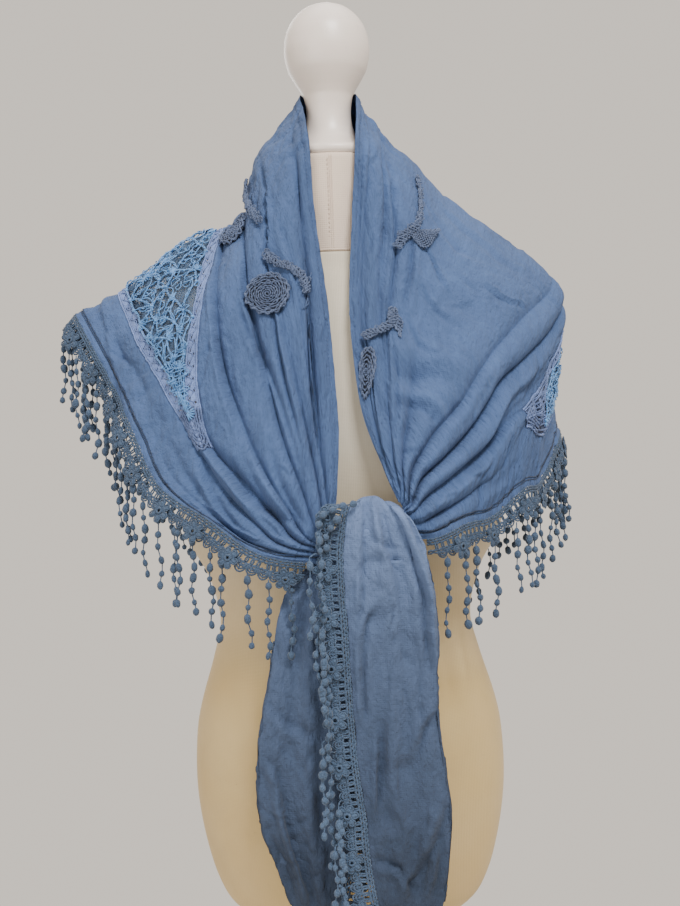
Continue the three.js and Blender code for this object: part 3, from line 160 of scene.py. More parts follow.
# Smaller creases: side, path as (share across, share from back to knot), depth and width in
# millimetres,
# and how much its one bank rises.
CREASES = [
    (1, [(.711, .384), (.756, .46), (.764, .563), (.782, .612), (.75, .7)], 4.0, 5.0, -.5),
    (1, [(.30, .392), (.317, .398), (.357, .403), (.391, .418), (.409, .422), (.425, .43)], 2.3,
     2.2, .9),
    (1, [(.352, .444), (.365, .45), (.407, .459), (.441, .465), (.46, .468)], 1.5, 2.1, .8),
    (1, [(.48, .40), (.495, .403), (.531, .408), (.559, .399), (.583, .403)], 2.4, 2.1, .8),
    (1, [(.42, .398), (.433, .402), (.457, .407), (.481, .415)], 1.2, 2.4, .6),
    (1, [(.17, .34), (.192, .391), (.236, .444), (.253, .496), (.265, .562), (.285, .62)], 5.0, 3.2,
     -.7),
    (1, [(.13, .32), (.148, .37), (.174, .427), (.192, .491), (.208, .513)], 3.0, 2.8, .6),
    (1, [(.275, .405), (.285, .417), (.305, .443), (.315, .474), (.32, .5)], 4.4, 4.4, .6),
    (1, [(.272, .53), (.279, .557), (.305, .619), (.317, .694)], -2.0, 3.2, .2),
    (1, [(.33, .597), (.347, .593), (.447, .567), (.545, .567)], 5.5, 13, .3),
    (1, [(.34, .305), (.369, .314), (.433, .325), (.487, .341), (.547, .342)], 1.8, 5.5, .5),
    (1, [(.29, .33), (.309, .336), (.401, .356), (.465, .355)], 1.8, 5, -.5),
    (1, [(.05, .3), (.045, .4), (.05, .5), (.06, .62)], 2.2, 3.2, .6),
    (1, [(.11, .5), (.13, .6), (.15, .7), (.16, .8)], 3.0, 3.6, .5),
    (1, [(.37, .65), (.43, .63), (.49, .635), (.54, .655)], 3.6, 7, .7),
    (1, [(.34, .5), (.40, .52), (.47, .53)], 2.0, 4, .5),
    (1, [(.30, .56), (.33, .6), (.35, .66), (.35, .72)], 2.2, 3.6, .5),
    (1, [(.72, .36), (.77, .45), (.785, .5), (.77, .6), (.75, .7), (.71, .77), (.67, .83)], 2.6,
     4.4, .6),
    (1, [(.58, .85), (.50, .88), (.44, .92), (.41, .97)], 2.4, 4, .6),
    (1, [(.85, .75), (.80, .83), (.81, .9), (.88, .96)], 2.6, 4, .6),
    (1, [(.93, .55), (.90, .62), (.88, .7)], 2.0, 5, .5),
    (1, [(.66, .5), (.655, .58), (.62, .66)], 1.8, 5, -.5),
    (-1, [(.19, .3), (.2, .346), (.236, .398), (.273, .432), (.29, .47)], 4.6, 3.2, -.8),
    (-1, [(.07, .33), (.076, .408), (.078, .453), (.06, .497)], 3.8, 2.8, .6),
    (-1, [(.513, .355), (.531, .415), (.555, .461), (.567, .502), (.567, .531), (.563, .568),
          (.55, .64)],
     4.0, 3.6, .6),
    (-1, [(.369, .345), (.383, .393), (.397, .424), (.383, .461), (.389, .498), (.361, .547),
          (.331, .615),
          (.31, .69)], 4.6, 3.4, .7),
    (-1, [(.30, .45), (.301, .491), (.307, .527), (.301, .574), (.291, .614), (.28, .68)], 5.0, 3.2,
     -.7),
    (-1, [(.11, .47), (.118, .532), (.135, .56), (.16, .59), (.175, .64), (.17, .70), (.16, .76)],
     6.5, 3.4, -.5),
    (-1, [(.43, .43), (.421, .462), (.397, .51), (.381, .56), (.37, .62)], 3.2, 3, .5),
    (-1, [(.88, .26), (.902, .304), (.95, .361), (.975, .424), (.98, .5)], -2.2, 5, .3),
    (-1, [(.735, .56), (.729, .573), (.679, .628), (.603, .699), (.477, .779), (.44, .83)], 5.0, 5,
     .6),
    (-1, [(.95, .352), (.942, .362), (.924, .371), (.914, .389)], 2.2, 2.4, .5),
    (-1, [(.03, .3), (.08, .35), (.08, .5), (.14, .6), (.17, .7)], 2.6, 3.4, .6),
    (-1, [(.20, .3), (.19, .4), (.17, .5), (.19, .6), (.21, .66)], 2.4, 3.6, .5),
    (-1, [(.43, .62), (.44, .68), (.42, .76), (.37, .86)], 3.2, 4.4, .6),
    (-1, [(.60, .56), (.575, .64), (.55, .72), (.50, .82)], 3.2, 5, -.6),
    (-1, [(.66, .6), (.64, .68), (.61, .76), (.60, .84)], 3.0, 5, .6),
    (-1, [(.75, .55), (.79, .65), (.80, .7), (.785, .76)], 3.4, 4.6, .7),
    (-1, [(.87, .72), (.86, .78), (.90, .83), (.94, .87)], 3.0, 4.6, .7),
    (-1, [(.87, .55), (.865, .62), (.85, .70)], 2.0, 5, .4),
    (-1, [(.93, .33), (.90, .42), (.91, .5)], 2.0, 6, .5),
    (-1, [(.55, .3), (.60, .38), (.66, .42)], 1.8, 5, .5),
    (-1, [(.12, .22), (.16, .12), (.2, .03)], 3.0, 7, .5),
    (-1, [(.36, .2), (.40, .12), (.42, .02)], 3.4, 8, .6),
    (-1, [(.62, .2), (.58, .12), (.6, .02)], 2.6, 7, .5),
    (-1, [(.92, .2), (.88, .1), (.86, .01)], 2.8, 8, .6),
    (1, [(.11, .22), (.15, .12), (.14, .02)], 2.8, 7, .5),
    (1, [(.40, .22), (.36, .13), (.33, .04)], 3.4, 8, -.5),
    (1, [(.60, .2), (.64, .13), (.60, .04)], 2.6, 7, .5),
    (1, [(.94, .2), (.90, .12), (.92, .02)], 2.8, 8, .6),
]
CREASE_GAIN = 1.5
# How near the cloth may come to the neck and finial: height and distance from their axis.
ROOM_AT_NECK = [(930, 55), (1028, 55), (1034, 55.6), (1040, 54), (1046, 45), (1053, 35),
                (1063, 28.5)]
SMALL_CREASES = 230
SMALL_TAIL_CREASES = 60
# Crinkles of the worn cloth and of the hanging ends: depth, size across and along in millimetres,
# and seed.
CLOTH_CRINKLES = [(2.5, 36, 58, 11), (1.9, 16, 27, 23), (1.1, 8, 12, 31)]
TAIL_CRINKLES = [(2.5, 28, 50, 0), (1.7, 13, 20, 1), (.9, 7, 9, 2)]

# The neck hem's stitches and the hem's two dark seams, in millimetres.
STITCH_ROW, STITCH_PITCH, STITCH_LENGTH = 9, 4.2, 2.6
SEAMS_FROM_HEM = (6.0, 8.6)

# The insets: how finely their braid and net are drawn, the mesh's pitch and the net's cells.
BRAID_ROWS, BRAID_COLUMNS, NET_ROWS = 165, 9, 400
MESH_PITCH = 2.7
NET_ACROSS, NET_CELL = 3, 21

# The trim, outwards from the cloth's edge: its ladder's height, the pitch of its rungs and of its
# scallops.
LADDER, RUNG_PITCH, SCALLOP = 12.2, 6.1, 9.4
TRIM_STEP = 1.45

# Crochet sewn on the cloth, in millimetres: half width and half height of a rosette, whole width of
# a stem, half
# width of the leaf. "taper" gives a stem's width from end to end as shares of it.
ROSETTES = [
    {"node": "rosette_right_large", "across": .301, "at": -.464, "tall": 20.8, "wide": 21.8,
     "turns": 9},
    {"node": "rosette_right_small", "across": .405, "at": -.316, "tall": 18.8, "wide": 17.8,
     "turns": 8},
    {"node": "rosette_left", "across": .118, "at": .667, "tall": 24.2, "wide": 7.0, "turns": 5},
]
VINES = [
    {"node": "vine_right_upper", "lift": .5, "wide": 10, "taper": [.6, 1, 1.1, .8],
     "path": [(.273, -.27), (.298, -.293), (.29, -.335), (.257, -.391)]},
    {"node": "vine_right_lower", "lift": .1, "wide": 10, "taper": [1.1, .8, 1, .8],
     "path": [(.274, -.425), (.24, -.45), (.176, -.485), (.124, -.521), (.118, -.54)]},
    {"node": "vine_left_upper", "lift": .6, "wide": 10, "taper": [.45, .3, .6, 1.2, 1.3, .8],
     "path": [(.26, .31), (.277, .346), (.285, .38), (.272, .399), (.246, .423), (.238, .438)]},
    {"node": "vine_left_lower", "lift": .5, "wide": 11, "taper": [1, .9, .9, 1.1],
     "path": [(.272, .507), (.282, .523), (.252, .545), (.18, .581), (.11, .619)]},
]
STEM_POINTS, LEAF_POINTS = 160, 60
LEAF_MOTIF = {"node": "leaf_left", "path": [(.293, .408), (.306, .398), (.322, .383), (.346, .360)],
              "wide": 10}
TASSEL = {"across": .2685, "at": .5157, "side": 8, "drop": 31}

# The two hanging ends, level by level: free edge, folded edge, face, height and how far the face
# bows out.
FRONT_TAIL = np.array([
    [16, 44, -131, 664, 0], [14, 44, -132, 677, 0], [12, 44, -140, 687, 0], [11, 45, -152, 690, 0],
    [8, 50, -163, 686, 0], [4, 60, -168, 672, 1], [1, 71, -168.5, 650, 3], [-1, 77, -168, 630, 4],
    [0, 82, -166, 593, 5], [2, 84, -163, 556, 5], [3, 82, -161, 510, 6], [5, 84, -159, 466, 6],
    [8, 88, -157, 428, 6], [13, 92, -156, 391, 6], [15, 89, -155, 356, 5], [21, 83, -155, 314, 4],
    [30, 66, -155, 265, 2], [38, 50, -155, 222, 0]], float)
BACK_TAIL = np.array([
    [14, -16, -136.5, 652, 0], [10, -24, -136.6, 634, 0], [4, -50, -138, 609, 1],
                      [2, -60, -140, 590, 3],
    [2, -68, -142, 556, 4], [3, -75, -142, 511, 5], [4, -85, -141, 455, 6], [3, -87, -140, 409, 6],
    [1, -84, -139, 381, 6], [-4, -72, -138, 343, 5], [-12, -60, -138, 310, 4],
                      [-22, -50, -138, 260, 2],
    [-31, -42, -138, 216, 0]], float)
# How finely a hanging end is drawn: rows, and columns of its face and of the strip folded behind
# it.
TAIL_ROWS, TAIL_FACE, TAIL_BACK = 166, 57, 30
TAIL_PLEATS = [(.3, 4, .1), (.62, 6, .12)]
# Creases of the hanging ends: path as (sideways, height), depth, width and lean.
FRONT_TAIL_CREASES = [
    ([(22, 680), (20, 640), (17, 600), (12, 570)], 2.4, 4, .7),
    ([(36, 684), (40, 655), (50, 622), (57, 580)], 2.0, 5, .6),
    ([(44, 684), (54, 655), (65, 625), (73, 593), (74, 556), (80, 512)], 5.0, 4.2, -.8),
    ([(34, 592), (22, 575), (16, 552), (13, 520)], 3.0, 4, .8),
    ([(16, 545), (14, 510), (16, 480)], 2.6, 3.5, .6),
    ([(86, 492), (76, 480), (66, 462), (58, 440)], 2.8, 5, .8),
    ([(30, 480), (28, 450), (26, 415), (24, 395)], 3.4, 3.5, .8),
    ([(48, 455), (46, 430), (50, 400)], 1.8, 7, .5),
    ([(90, 400), (78, 368), (62, 340), (48, 312)], 3.6, 6, .8),
    ([(16, 352), (28, 350), (44, 342), (56, 322)], 3.0, 4, .8),
    ([(84, 372), (80, 340), (72, 310)], 2.4, 5, .6),
    ([(60, 560), (66, 520), (64, 480)], 1.6, 9, .5),
]
BACK_TAIL_CREASES = [
    ([(-20, 640), (-34, 600), (-44, 560), (-46, 520)], 2.0, 5, .6),
    ([(-72, 500), (-56, 480), (-38, 470), (-16, 466)], 2.8, 6, .7),
    ([(-80, 450), (-66, 430), (-60, 400), (-56, 370)], 3.0, 5, .7),
    ([(-70, 420), (-56, 370), (-44, 330), (-38, 300)], 3.4, 4, .8),
    ([(-30, 430), (-28, 390), (-34, 350)], 1.8, 8, .5),
    ([(-80, 380), (-64, 340), (-54, 300)], 2.6, 5, .6),
]
KNOT = np.array([
    [-13.1, -150, 645, 12, 8, .235], [-4, -150.5, 649, 18, 12, .15], [11, -151, 654, 22, 14.6, 0],
    [25, -151.5, 659, 23, 15, 0], [38, -151.5, 664, 20, 14.6, 0], [48, -151, 667, 17, 12, -.15],
    [56.8, -151, 668, 12, 7, -.28]], float)

# Each hanging end: the levels between which a strip is folded behind it, where its trim starts as a
# share of its
# length, its free edge's side, its seed, and where its strings hang, sideways and forwards.
ENDS = {
    True: {"levels": FRONT_TAIL, "creases": FRONT_TAIL_CREASES, "folded": (7, 15),
           "trim_from": .217,
           "side": -1, "seed": 60, "slots": [(1, -1.5), (8, -1), (3.5, -8), (11, -8.5)]},
    False: {"levels": BACK_TAIL, "creases": BACK_TAIL_CREASES, "folded": (4, 10), "trim_from": .252,
            "side": 1, "seed": 80, "slots": [(1, 1), (8, 1), (4, 8), (12, 8)]},
}

# Cords of bobbles thrown over the knot.
OVER_KNOT_CORDS = [
    [(-21, -169, 652), (-22, -171, 661), (-18, -172, 673), (-9, -172, 678), (2, -173, 682),
     (10, -172, 683), (17, -169, 686)],
    [(-14, -171, 640), (-16, -172, 652), (-9, -173, 664), (-2, -173, 672), (3, -171, 678)],
]

# The form: radius and height of each turned part; height, half width, front and back of the torso.
# Each side of
# the bust has its place, its height, how far it rises and how wide it spreads.
FINIAL = [(50, 1030.4), (52, 1034), (50.5, 1039), (41, 1044.5), (30.5, 1052), (25, 1063),
          (23, 1078), (24.7, 1093.6),
          (27.6, 1101), (32.4, 1109), (36.6, 1116), (40.8, 1124.5), (43.6, 1137), (43.9, 1148.2),
          (41.2, 1163),
          (34, 1176), (22.7, 1186.3), (9, 1191.8)]
NECK_BLOCK = [(51, 930.4), (53.4, 931.4), (53.5, 935), (52.4, 950), (51.9, 985), (51.8, 1024),
              (51.4, 1027),
              (49.8, 1030)]
POLE = [(15, 14.4), (15, 200), (15, 241.6)]
COLLAR = [(15.3, 214), (19, 215), (20, 218), (20, 234), (19, 237), (15.3, 238)]
BASE = [(146, 0), (149.3, .9), (150, 3), (150, 9.5), (149.3, 12), (147, 13.6), (143, 14),
        (26, 14.0)]
FLOOR_DISC = [(790, -8), (800, -7), (800, -1.5), (798.5, -.5)]
TORSO = np.array([
    [242, 22, 22, 22], [250, 78, 48, 48], [272, 119, 72, 73], [300, 138, 86, 90],
                  [345, 151, 98, 103],
    [395, 158, 104, 110], [445, 157, 103, 109], [480, 151, 99, 101], [530, 136, 90, 86],
                  [566, 129, 87, 78],
    [610, 140, 92, 80], [650, 162, 98, 84], [690, 168, 101, 88], [745, 168, 101, 92],
                  [800, 176, 94, 95],
    [850, 183, 84, 90], [880, 182, 76, 82], [902, 165, 68, 74], [918, 130, 60, 66],
                  [930, 84, 56, 60]], float)
BUST = [(-76, 720, 8, 58), (76, 720, 8, 58)]
BODY_SQUARENESS = 2.3


# Small geometry helpers

def unit(vectors):
    """Vectors brought to length one."""
    return vectors / np.maximum(np.linalg.norm(vectors, axis=-1, keepdims=True), 1e-9)


def run_along(line):
    """How far along a line each of its points lies."""
    return np.concatenate([[0], np.cumsum(np.linalg.norm(np.diff(line, axis=0), axis=1))])


def spline(a, b, c, d, f):
    """Smooth way from b, where f is 0, to c, where it is 1; a comes before them and d after."""
    return 0.5 * (2 * b + (c - a) * f + (2 * a - 5 * b + 4 * c - d) * f ** 2
                  + (3 * b - a - 3 * c + d) * f ** 3)


def smooth_through(table, place):
    """Smooth curve through the first axis of a table, read at places counted in rows."""
    table = np.asarray(table, float)
    place = np.asarray(place, float)
    ends = np.concatenate([[2 * table[0] - table[1]], table, [2 * table[-1] - table[-2]]])
    i = np.clip(np.floor(place).astype(int), 0, len(table) - 2)
    f = (place - i).reshape(place.shape + (1,) * (table.ndim - 1))
    return spline(ends[i], ends[i + 1], ends[i + 2], ends[i + 3], f)


def drawn_through(table, count):
    """The smooth curve through the rows of a table, as that many points."""
    return smooth_through(table, np.linspace(0, len(table) - 1, count))


def softened(values, width):
    """Values smoothed along their first axis by a bell of that many samples."""
    reach = int(3 * width) + 1
    bell = np.exp(-0.5 * (np.arange(-reach, reach + 1) / width) ** 2)
    bell /= bell.sum()
    flat = values.reshape(len(values), -1)
    padded = np.concatenate([2 * flat[0] - flat[reach:0:-1], flat,
                             2 * flat[-1] - flat[-2:-reach - 2:-1]])
    done = np.stack([np.convolve(padded[:, k], bell, "valid") for k in range(flat.shape[1])],
                    axis=1)
    return done.reshape(values.shape)


def noise(x, y, seed):
    """Smooth noise from -1 to 1, one hill or hollow per unit."""
    table = np.random.default_rng(seed).uniform(-1, 1, (64, 64))
    i, j = np.floor(x).astype(int), np.floor(y).astype(int)
    f, g = x - i, y - j
    f, g = f * f * (3 - 2 * f), g * g * (3 - 2 * g)
    low = table[i % 64, j % 64] * (1 - f) + table[(i + 1) % 64, j % 64] * f
    high = table[i % 64, (j + 1) % 64] * (1 - f) + table[(i + 1) % 64, (j + 1) % 64] * f
    return low * (1 - g) + high * g


def crinkle(x, y, seed):
    """Sharp little valleys between soft humps, from 0 to 1."""
    wander = 0.6 * noise(x * 0.5, y * 0.5, seed + 7)
    return 1 - np.minimum(np.abs(noise(x + wander, y - wander, seed)) * 2.2, 1)


def sink_crinkles(height, x, y, layers, rough, patchy, seed=0):
    """Lowers a surface by each layer of crinkles; all but the broadest come and go in patches."""
    for k, (deep, across, along, own_seed) in enumerate(layers):
        valleys = crinkle(x / across, y / along, seed + own_seed)
        height -= deep * rough * (patchy if k else 1) * valleys


def crease_height(a, b, size_a, size_b, path, depth, width, lean):
    """Height of one crease over a grid; size_a and size_b are its coordinates' units in mm."""
    line = drawn_through(path, 18 * (len(path) - 1) + 1)
    ahead = np.gradient(line, axis=0)
    height = np.zeros(a.shape)
    margin_a, margin_b = 5 * width / np.median(size_a), 5 * width / np.median(size_b)
    near = ((a > line[:, 0].min() - margin_a) & (a < line[:, 0].max() + margin_a)
            & (b > line[:, 1].min() - margin_b) & (b < line[:, 1].max() + margin_b))
    if not near.any():
        return height
    a, b, size_a, size_b = a[near], b[near], size_a[near], size_b[near]
    off_a = (a[:, None] - line[None, :, 0]) * size_a[:, None]
    off_b = (b[:, None] - line[None, :, 1]) * size_b[:, None]
    apart = np.hypot(off_a, off_b)
    j = apart.argmin(axis=1)
    n = np.arange(len(j))
    side = np.sign(off_a[n, j] * ahead[j, 1] * size_b - off_b[n, j] * ahead[j, 0] * size_a)
    x = side * apart[n, j] / width
    taper = np.sin(np.pi * np.clip(j / (len(line) - 1), .03, .97)) ** .7
    bank = abs(lean) * np.exp(-((x - np.sign(lean) * 1.5) / .9) ** 2)
    height[near] = depth * taper * (bank - np.exp(-np.abs(x) ** 1.5))
    return height


class Shape:
    """The points and faces of one piece, gathered part by part, in millimetres."""

    def __init__(self):
        self.points, self.faces, self.finishes = [], [], []
        self.count, self.finish = 0, 0

    def add(self, points, faces):
        points = np.asarray(points, float).reshape(-1, 3)
        self.points.append(points)
        for block in faces:
            self.faces.extend((np.asarray(block) + self.count).tolist())
            self.finishes.extend([self.finish] * len(block))
        self.count += len(points)

    def piece(self, name, *materials, weave=None, normals=None):
        mesh = bpy.data.meshes.new(name)
        points = np.concatenate(self.points) * MM
        mesh.from_pydata(points.tolist(), [], self.faces)
        mesh.polygons.foreach_set("use_smooth", np.ones(len(mesh.polygons), bool))
        for material in materials:
            mesh.materials.append(material)
        mesh.polygons.foreach_set("material_index", np.array(self.finishes, np.int32))
        if weave is not None:
            layer = mesh.attributes.new("weave", "FLOAT_VECTOR", "POINT")
            layer.data.foreach_set("vector", np.asarray(weave, np.float32).ravel())
        if normals is not None:
            mesh.normals_split_custom_set_from_vertices(normals.tolist())
        mesh.update()
        piece = bpy.data.objects.new(name, mesh)
        bpy.context.scene.collection.objects.link(piece)
        return piece


def grid_faces(rows, columns, present=None, flip=False):
    """Quads of a grid of points, or of those cells of it that are present."""
    r, c = np.meshgrid(np.arange(rows - 1), np.arange(columns - 1), indexing="ij")
    r, c = (r[present], c[present]) if present is not None else (r.ravel(), c.ravel())
    a = r * columns + c
    quads = np.stack([a, a + columns, a + columns + 1, a + 1], axis=1)
    return quads[:, ::-1] if flip else quads


def wrapped_faces(rings, sides, closed=False, flip=False):
    """Quads between rings of points; where it is closed, the last ring meets the first one."""
    i, s = np.meshgrid(np.arange(rings if closed else rings - 1), np.arange(sides), indexing="ij")
    i, s = i.ravel(), s.ravel()
    after, t = (i + 1) % rings, (s + 1) % sides
    quads = np.stack([i * sides + s, after * sides + s, after * sides + t, i * sides + t], axis=1)
    return quads[:, [0, 3, 2, 1]] if flip else quads


def rim_faces(rows, columns, present):
    """Faces that close a two-layer grid round its edges; the inner layer follows the outer one."""
    inner = rows * columns
    full = np.zeros((rows + 1, columns + 1), bool)
    full[1:rows, 1:columns] = present
    quads = []
    r, c = np.nonzero(full[1:rows, 1:columns])
    for dr, dc, first, second in [(-1, 0, (0, 0), (0, 1)), (1, 0, (1, 1), (1, 0)),
                                  (0, -1, (1, 0), (0, 0)), (0, 1, (0, 1), (1, 1))]:
        bare = ~full[r + 1 + dr, c + 1 + dc]
        a = (r[bare] + first[0]) * columns + c[bare] + first[1]
        b = (r[bare] + second[0]) * columns + c[bare] + second[1]
        quads.append(np.stack([a, b, b + inner, a + inner], axis=1))
    return np.concatenate(quads)


def add_shell(shape, points, normals, thickness, present=None):
    """A thin closed sheet: the outer face is the grid, the inner one lies behind it."""
    rows, columns = points.shape[:2]
    present = np.ones((rows - 1, columns - 1), bool) if present is None else present
    inner = points - normals * thickness
    behind = grid_faces(rows, columns, present, True) + rows * columns
    faces = [grid_faces(rows, columns, present), behind, rim_faces(rows, columns, present)]
    used = np.unique(np.concatenate(faces))
    number = np.full(2 * rows * columns, -1)
    number[used] = np.arange(len(used))
    every = np.concatenate([points.reshape(-1, 3), inner.reshape(-1, 3)])
    shape.add(every[used], [number[block] for block in faces])
    return used


def tube(shape, path, radius, ref, sides=6, closed=False, flat=1.0):
    """A round or flattened cord along a path. ref is a way, or one for each point, off the path."""
    path = np.asarray(path, float)
    n = len(path)
    radius = np.broadcast_to(np.asarray(radius, float), (n,))
    if closed:
        ahead = np.roll(path, -1, axis=0) - np.roll(path, 1, axis=0)
    else:
        ahead = np.gradient(path, axis=0)
    ahead = unit(ahead)
    ref = np.broadcast_to(np.asarray(ref, float), (n, 3))
    side = unit(np.cross(ahead, ref))
    other = np.cross(side, ahead)
    angle = np.arange(sides) / sides * 2 * np.pi
    c, s = np.cos(angle)[None, :, None], np.sin(angle)[None, :, None]
    around = c * side[:, None] + flat * s * other[:, None]
    ring = path[:, None] + radius[:, None, None] * around
    faces = [wrapped_faces(n, sides, closed)]
    if not closed:
        faces.append(np.arange(sides)[None, :])
        faces.append((n - 1) * sides + np.arange(sides)[None, ::-1])
    shape.add(ring, faces)


def blob(shape, centre, axes, sides=8, rings=5):
    """A small rounded lump; axes are its three half lengths as vectors."""
    axes = np.asarray(axes, float)
    lat = np.linspace(-np.pi / 2, np.pi / 2, rings + 2)[1:-1]
    angle = np.arange(sides) / sides * 2 * np.pi
    ball = np.stack([np.outer(np.cos(lat), np.cos(angle)), np.outer(np.cos(lat), np.sin(angle)),
                     np.outer(np.sin(lat), np.ones(sides))], axis=-1).reshape(-1, 3)
    ball = np.concatenate([ball, [[0, 0, -1], [0, 0, 1]]])
    ring = np.arange(sides)
    after = (ring + 1) % sides
    foot, top = rings * sides, rings * sides + 1
    last = (rings - 1) * sides
    faces = [wrapped_faces(rings, sides, flip=True),
             np.stack([np.full(sides, foot), after, ring], axis=1),
             np.stack([last + ring, last + after, np.full(sides, top)], axis=1)]
    shape.add(np.asarray(centre) + ball @ axes, faces)


# The cloth

@lru_cache(maxsize=None)
def fold_curves():
    """Smoothed valley lines and depths over the whole way from knot to knot."""
    at = np.linspace(-1, 1, 801)
    lines, depths, leans = [], [], []
    for folds, side in ((RIGHT_HAND_FOLDS, at < 0), (LEFT_HAND_FOLDS, at >= 0)):
        lines.append(np.stack([np.interp(np.abs(at[side]), *zip(*f["line"])) for f in folds],
                              axis=1))
        depths.append(np.stack([np.interp(np.abs(at[side]), *zip(*f["depth"])) for f in folds],
                               axis=1))
        leans.append(np.broadcast_to([f["lean"] for f in folds], lines[-1].shape))
    return (at, softened(np.concatenate(lines), 7), softened(np.concatenate(depths), 9),
            softened(np.concatenate(leans), 20))


def smooth_sheet(across, at):
    """Points of the unfolded sheet: across is a grid, at has one value for each row."""
    lanes = smooth_through(SECTIONS.reshape(len(SECTIONS), -1), (at + 1) / 2 * (len(SECTIONS) - 1))
    lanes = lanes.reshape(-1, 6, 3)
    lanes = np.concatenate([2 * lanes[:, :1] - lanes[:, 1:2], lanes,
                            2 * lanes[:, -1:] - lanes[:, -2:-1]], axis=1)
    place = across * 5
    i = np.clip(np.floor(place).astype(int), 0, 4)
    f = (place - i)[..., None]
    r = np.arange(len(at))[:, None]
    return spline(lanes[r, i], lanes[r, i + 1], lanes[r, i + 2], lanes[r, i + 3], f)


def small_creases():
    """Short uneven creases all over the worn cloth, wilder near the middle of the back."""
    rng = np.random.default_rng(77)
    made = []
    for _ in range(SMALL_CREASES):
        side = 1 if rng.random() < .5 else -1
        across, at = rng.uniform(.04, .96), rng.uniform(.02, .9)
        turn = rng.normal(0, .25 + .8 * (1 - at) ** 1.5)
        pace = rng.uniform(6, 17)
        path = [(across, at)]
        for _ in range(int(rng.integers(2, 5))):
            turn += rng.normal(0, .35)
            across += pace * math.sin(turn) / 330
            at += pace * math.cos(turn) / 800
            path.append((across, at))
        deep = rng.uniform(.7, 2.0)
        made.append((side, path, deep, rng.uniform(1.9, 3.6), rng.choice([-.8, -.4, .4, .8])))
    return made


def bust_bells(x, z):
    """How far each side of the bust rises from the torso at some places."""
    return [rise * np.exp(-((x - bust_x) ** 2 + (z - bust_z) ** 2) / spread ** 2)
            for bust_x, bust_z, rise, spread in BUST]


def clear_of_form(points):
    """Points moved out from the form's axis where they would dip into its torso, neck or finial."""
    x, y, z = points[..., 0], points[..., 1], points[..., 2]
    half, front, back = (np.interp(z, TORSO[:, 0], TORSO[:, k]) for k in (1, 2, 3))
    deep = np.where(y < 0, front, back)
    for bell in bust_bells(x, z):
        deep = deep + np.where(y < 0, bell, 0)
    reach = (np.abs(x / (half + 2)) ** BODY_SQUARENESS + np.abs(y / (deep + 2)) ** BODY_SQUARENESS)
    torso = np.where(z < 930, 1 / np.maximum(reach, .01) ** (1 / BODY_SQUARENESS), 0)
    neck = np.interp(z, *zip(*ROOM_AT_NECK), left=0, right=0) / np.hypot(x, y)
    push = np.maximum(np.maximum(torso, neck), 1)[..., None]
    return np.concatenate([points[..., :2] * push, points[..., 2:]], axis=-1)


